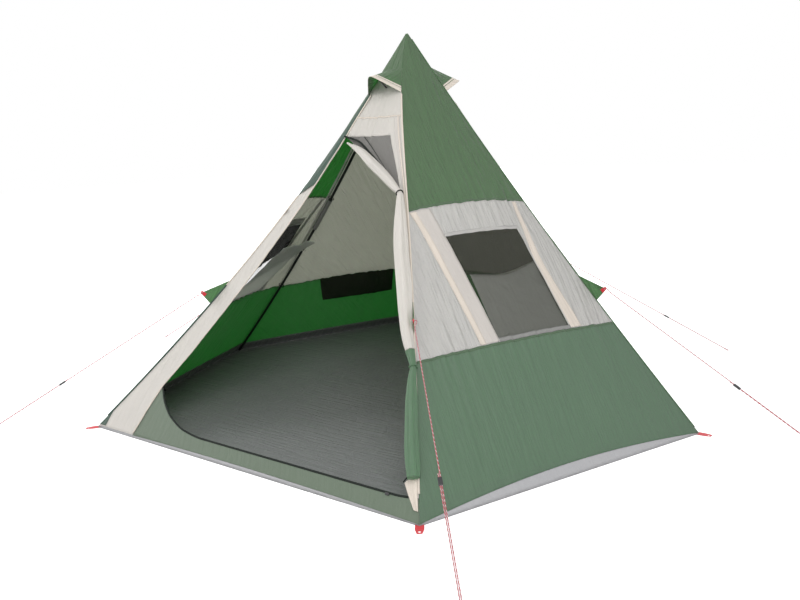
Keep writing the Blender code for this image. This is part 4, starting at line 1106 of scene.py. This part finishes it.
windowTapes = {"facing": (0.112, 0.0), "strip": (0.114, 0.080),
               "gapIn": ((0.457, 0.070), (0.52, 0.040), (0.61, 0.0), (0.75, 0.0)),
               "gapOut": ((0.457, 0.098), (0.52, 0.076), (0.61, 0.048), (0.75, 0.083))}
for side in ("right", "left"):
    wall = "front_" + side
    full = np.linspace(upper + 0.003, lower - 0.0012, 130)
    low, high = windowEdges(wall, full)
    chord = wallChord(wall, full)
    near, far, way = (low, high, -1) if side == "right" else (high, low, 1)     # near is the door's side
    for name, key, finish, lift in (("window_facing_" + side, "facing", "facing", 0.0015),
                                    ("window_strip_%s_near" % side, "strip", "ivoryWide", 0.0027)):
        layBand(name, wall, *(near + way * off / chord for off in windowTapes[key]), full, finish, lift=lift)
    far0, far1 = (far - way * tableAt(windowTapes[label], full) / chord for label in ("gapIn", "gapOut"))
    layBand("window_strip_%s_far" % side, wall, far0, far1, full, "ivoryWide", lift=0.0027)
    rim = np.linspace(windowPlan["top"], windowPlan["bottom"], 90)
    layTape("window_rim_%s_far" % side, wall, windowEdges(wall, rim)[side == "right"], rim, 0.014, "white")
    across = np.linspace(*(float(edge) for edge in windowEdges(wall, windowPlan["top"] + 0.0025)), 70)
    layTape("window_rim_%s_top" % side, wall, across, windowPlan["top"] + 0.0025, 0.020, "white")
    if side == "left":
        layTape("window_rim_left_inner", wall, across, windowPlan["top"] + 0.008, 0.052, "white", lift=-0.0055)
    down = (windowPlan["bottom"] + lower) / 2
    across = np.linspace(*(float(edge) for edge in windowEdges(wall, down)), 70)
    layTape("window_rim_%s_bottom" % side, wall, across, down, 0.023, "edging")

shareLine = np.linspace(doorPlan["stripEdge"], 0.004, 200)
layTape("door_zip_sill", "front", 1 - shareLine, tableAt(doorPlan["zip"], shareLine) + 0.0002, 0.0101, "dark",
        lift=0.0018)
downs = np.linspace(turnPlan["top"], 0.992, 230)
tube("door_edge_piping", wallPlace("front", 1 - stripEdge(downs), downs, lift=0.0042), 0.0042, cloths["ivory"])
downs = np.linspace(tent["ventBottom"], 0.945, 160)
jambSide = tableAt(doorPlan["jamb"], downs)
layBand("door_post_band", "front", 1 - 0.62 * jambSide, 1 - 0.18 * jambSide, downs, "facing")
layTape("door_post_tape", "front", 1 - 0.30 * jambSide, downs, 0.010, "ivory", lift=0.0028)

insidePlan = {"tape": (0.25, 0.66), "near": 0.012, "far": 0.034, "cover": (0.462, 0.552), "coverSize": 0.0158,
              "ties": (0.455, 0.62, 0.745), "tieSize": 0.0026, "inset": 0.025}
downs = np.linspace(*insidePlan["tape"], 120)
chord = wallChord("front_left", downs)
layBand("pole_sleeve_tape_left", "front_left", insidePlan["near"] / chord, insidePlan["far"] / chord, downs, "sleeve",
        lift=-0.0032, swell=-0.0003)
inset = outward("left") * insidePlan["inset"]
tube("pole_joint_cover_left", poleLine("left", np.linspace(*insidePlan["cover"], 40)) - inset,
     insidePlan["coverSize"], cloths["edging"], sides=16)


def ringLine(centre, side, up, ahead, radius, turns, rise):
    # the way of a cord round something: some turns, and its two ends a little apart
    return centre + column(np.cos(turns) * radius) * side + column(np.sin(turns) * radius) * up + column(rise) * ahead


for index, down in enumerate(insidePlan["ties"]):
    # a short tie knotted round the pole and its tape
    ahead = unit(poleLine("left", down + 0.01) - poleLine("left", down - 0.01))
    side = unit(np.cross(ahead, outward("left")))
    line = ringLine(poleLine("left", down) - inset, side, np.cross(side, ahead), ahead,
                    insidePlan["coverSize"] + insidePlan["tieSize"] * 1.4, np.linspace(0.3, 0.3 + math.tau * 1.05, 50),
                    np.linspace(-0.003, 0.003, 50))
    tube("pole_tie_left_%d" % (index + 1), line, insidePlan["tieSize"], cloths["dark" if index != 1 else "sleeve"])

screenPlan = {"line": ((0.592, 0.2762), (0.4441, 0.2999), (0.2834, 0.3355), (0.2131, 0.3552), (0.1422, 0.378),
                       (0.0873, 0.3991)),
              "zip": ((0.880, 0.2775), (0.840, 0.2795), (0.7717, 0.2825), (0.6594, 0.2882), (0.5381, 0.3005),
                      (0.4242, 0.3185), (0.2993, 0.341), (0.1944, 0.3678), (0.1293, 0.3868), (0.0998, 0.4008)),
              "tailLeft": ((0.032, 0.9463), (0.0276, 0.955), (0.0203, 0.9669), (0.0111, 0.9805)),
              "tailRight": ((0.001, 0.925), (0.001, 0.9488), (0.001, 0.965), (0.001, 0.9808)),
              "tailZip": ((0.032, 0.9463), (0.018, 0.9345), (0.004, 0.9245))}


def routeAt(route, count, lift):
    # a smooth line over the front wall through pairs of a share from the right pole and a share down
    places = np.linspace(0, len(route) - 1, count)
    shares, downs = (tableAt(tuple(enumerate(side)), places) for side in zip(*route))
    return wallPlace("front", 1 - shares, downs, lift=lift)


def gather(name, first, last, columns, finish, thick):
    # three small pleats of cloth between two lines
    part = np.linspace(0, 1, columns)
    crest = 0.004 * np.abs(np.sin(3 * math.pi * part))[None, :, None] * wallNormals["front"]
    part = part[None, :, None]
    hang(name, first[:, None] * (1 - part) + last[:, None] * part + crest, finish,
         thick=thick)


foldLine = routeAt(screenPlan["line"], 90, 0.0035)
tube("screen_fold_piping", foldLine, 0.0024, cloths["dark"])
tube("screen_zip", routeAt(screenPlan["zip"], 120, 0.017), 0.004, cloths["dark"],
     radii=np.linspace(0.0105, 0.0050, 120), flatten=0.6)
gather("screen_fold_net", routeAt(screenPlan["zip"][3:], 90, 0.012), foldLine, 9, "screen",
       0.0008)
gather("door_roll_tail", routeAt(screenPlan["tailRight"], 40, 0.006), routeAt(screenPlan["tailLeft"], 40, 0.006), 13,
       "ivory", 0.0010)
tube("door_tail_zip", routeAt(screenPlan["tailZip"], 40, 0.020), 0.0032, cloths["dark"])
print("tapes laid")

pocketPlan = {"across": (0.20, 0.72), "bottom": 0.84, "sag": 0.012, "taper": 0.075}


def makePocket():
    left, right = pocketPlan["across"]
    u, part = np.linspace(0, 1, 81)[None], np.linspace(0, 1, 25)[:, None]
    across = np.linspace(left, right, 81)[None]
    across = across - pocketPlan["taper"] * part * (across - left) / (right - left)
    downs = lower + (pocketPlan["bottom"] - lower) * part + 0 * across
    sag = pocketPlan["sag"] * np.sin(math.pi * part * 0.8) * 4 * u * (1 - u)
    sag = sag + 0.0015 * np.abs(wander(u * 1.1, 0.05, 401)) * part
    hang("storage_pocket_net", wallPlace("back_left", across, downs, lift=-(0.0014 + sag)), "closeMesh",
         "storage_pocket", thick=0.0008, side=-1.0)


makePocket()


def plate(name, outline, hole, thick, origin, x, y, z, material, edgeRound=0.0006):
    # a flat piece from an outline with a round hole, its edges rounded, laid by three axes
    data = bpy.data.curves.new(name, "CURVE")
    data.dimensions, data.fill_mode = "2D", "BOTH"
    data.extrude, data.bevel_depth, data.offset = thick / 2 - edgeRound, edgeRound, -edgeRound
    data.bevel_resolution = 2
    (cx, cy), radius = hole
    ring = [(cx + radius * math.cos(turn), cy + radius * math.sin(turn))
            for turn in np.linspace(0, math.tau, 28, endpoint=False)]
    for points in (outline, ring):
        line = data.splines.new("POLY")
        line.points.add(len(points) - 1)
        line.use_cyclic_u = True
        for index, (px, py) in enumerate(points):
            line.points[index].co = (px, py, 0.0, 1.0)
    thing = bpy.data.objects.new(name, data)
    bpy.context.scene.collection.objects.link(thing)
    pickOnly(thing)
    bpy.ops.object.convert(target="MESH")
    piece = bpy.context.object
    work = bmesh.new()
    work.from_mesh(piece.data)
    bmesh.ops.remove_doubles(work, verts=work.verts, dist=0.00002)
    bmesh.ops.recalc_face_normals(work, faces=work.faces)
    mapByPlace(work, 0, 1)
    work.to_mesh(piece.data)
    work.free()
    piece.data.transform(Matrix.Translation(Vector(origin)) @ Matrix((x, y, z)).transposed().to_4x4())
    piece.name = piece.data.name = name
    piece.data.materials.clear()
    piece.data.materials.append(material)
    return piece


def makeTab(pole):
    origin, out, y, z, rise, (holeX, holeY) = tabFrame(pole)
    u, v = np.linspace(0, 1, 19)[None], np.linspace(1, 0, 21)[:, None]
    offset, ear = guyPlan["tabOffset"], guyPlan["tabEar"]
    reach = offset + (holeX - 0.004 - offset) * u
    low, high = -rise / 2 + (holeY - ear + rise / 2) * u, rise / 2 + (holeY + ear - rise / 2) * u
    bulge = 0.0022 * np.sin(math.pi * u) * np.sin(math.pi * v) + 0.0006 * wander(v * 3 + u, 0.4, 411)
    points = origin + column(reach + 0 * v) * out + column(low + (high - low) * v) * y + column(bulge) * z
    hang("guy_tab_cloth_" + pole, points, "upperGreen", "guy_tab_" + pole,
         thick=0.0022, side=0.0)
    half = [(-0.026, 0.011), (0.001, 0.0095), (0.0075, 0.006)]
    tip = [(holeX + a, holeY - b) for a, b in half] + [(holeX + 0.0098, holeY)] + (
        [(holeX + a, holeY + b) for a, b in reversed(half)])
    loop = plate("guy_tab_webbing_" + pole, tip, ((holeX, holeY), guyPlan["cord"] / 2 + 0.0004), 0.0046, origin, out,
                 y, z, cloths["red"])
    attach(loop, "tent")


webbingPlan = {"length": 0.066, "width": 0.040, "tip": 0.024, "thick": 0.002, "gap": 0.0005, "hole": 0.007}


def makeWebbing(pole):
    plan = webbingPlan
    out, side = outward(pole), sideways(pole)
    half, notch = plan["width"] / 2, []
    for near, far in ((0, 1), (1, 0)):                         # the two walls that meet at the pole
        other = next(pair[near] for pair in tent["walls"].values() if pair[far] == pole)
        way = unit(poleFoot(other) - poleFoot(pole))
        reach = half / abs(way @ side)
        notch.append((float(way @ out) * reach + plan["gap"], half * (1 if way @ side > 0 else -1)))
    lowSide, highSide = sorted(notch, key=lambda place: place[1])
    far, tip = plan["length"], plan["tip"] / 2
    outline = [(plan["gap"], 0.0), lowSide, (far * 0.45, -half), (far, -tip), (far, tip), (far * 0.45, half), highSide]
    wall = next(name for name, pair in tent["walls"].items() if pair[0] == pole)
    origin = cornerAt(pole, wall) + np.array((0, 0, plan["thick"] / 2))
    piece = plate("peg_webbing_" + pole, outline, ((far - 2.2 * plan["hole"], 0.0), plan["hole"]), plan["thick"],
                  origin, out, np.cross((0, 0, 1.0), out), np.array((0, 0, 1.0)), cloths["red"], edgeRound=0.0004)
    claim(piece, "peg_loop_" + pole)


for pole in tent["feet"]:
    makeTab(pole)
    makeWebbing(pole)


def makeTie(name, node, index, part, finish):
    centres, radii = rollRoute(part)
    ahead = unit(centres[index + 1] - centres[index - 1])
    side = unit(np.cross(wallNormals["front"], ahead))
    ring = (rollWaist + 0.0003) / math.cos(math.pi / 16) + 0.0032
    line = ringLine(centres[index], side, np.cross(ahead, side), ahead, ring, np.linspace(-0.15, math.tau + 0.15, 60),
                    np.linspace(-0.0034, 0.0034, 60))
    claim(tube(name, line, 0.0032, cloths[finish], sides=10), node)


makeTie("door_tie_cord_upper", "door_tie_upper", 8, "", "dark")
makeTie("door_tie_cord_lower", "door_tie_lower", 1, "hem", "lowerGreen")
print("small pieces made")


def hardMaterial(name, colour, roughness, metallic, grain, wear=0.12):
    made, tree, body, coords = newMaterial(name)
    cloud = addNode(tree, "TexNoise", {"Vector": coords["Object"], "Scale": grain, "Detail": 4.0}).outputs["Fac"]
    paint = mixColours(tree, cloud, [part * (1 - wear) for part in colour],
                       [part * (1 + wear) + 0.004 for part in colour])
    rough = mathNode(tree, "ADD", roughness - 0.06, mathNode(tree, "MULTIPLY", cloud, 0.12))
    fill(tree, body, {"Base Color": paint, "Roughness": rough, "Metallic": metallic,
                      "Normal": bumped(tree, 0.15, 0.0004, cloud)})
    return made


hard = {"pole": hardMaterial("polePaint", (0.014, 0.014, 0.015), 0.32, 0.3, 90.0),
        "plastic": hardMaterial("mouldedPlastic", (0.020, 0.020, 0.021), 0.45, 0.0, 300.0)}
for name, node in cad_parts.items():
    if node.hide_render:
        continue
    finish = hard["pole"] if name.startswith("pole_") and name != "pole_hub" else hard["plastic"]
    for slot in node.material_slots:
        slot.material = finish
    if not node.material_slots:
        node.data.materials.append(finish)
    print("kept", name)

print("sheets", flatSizes)
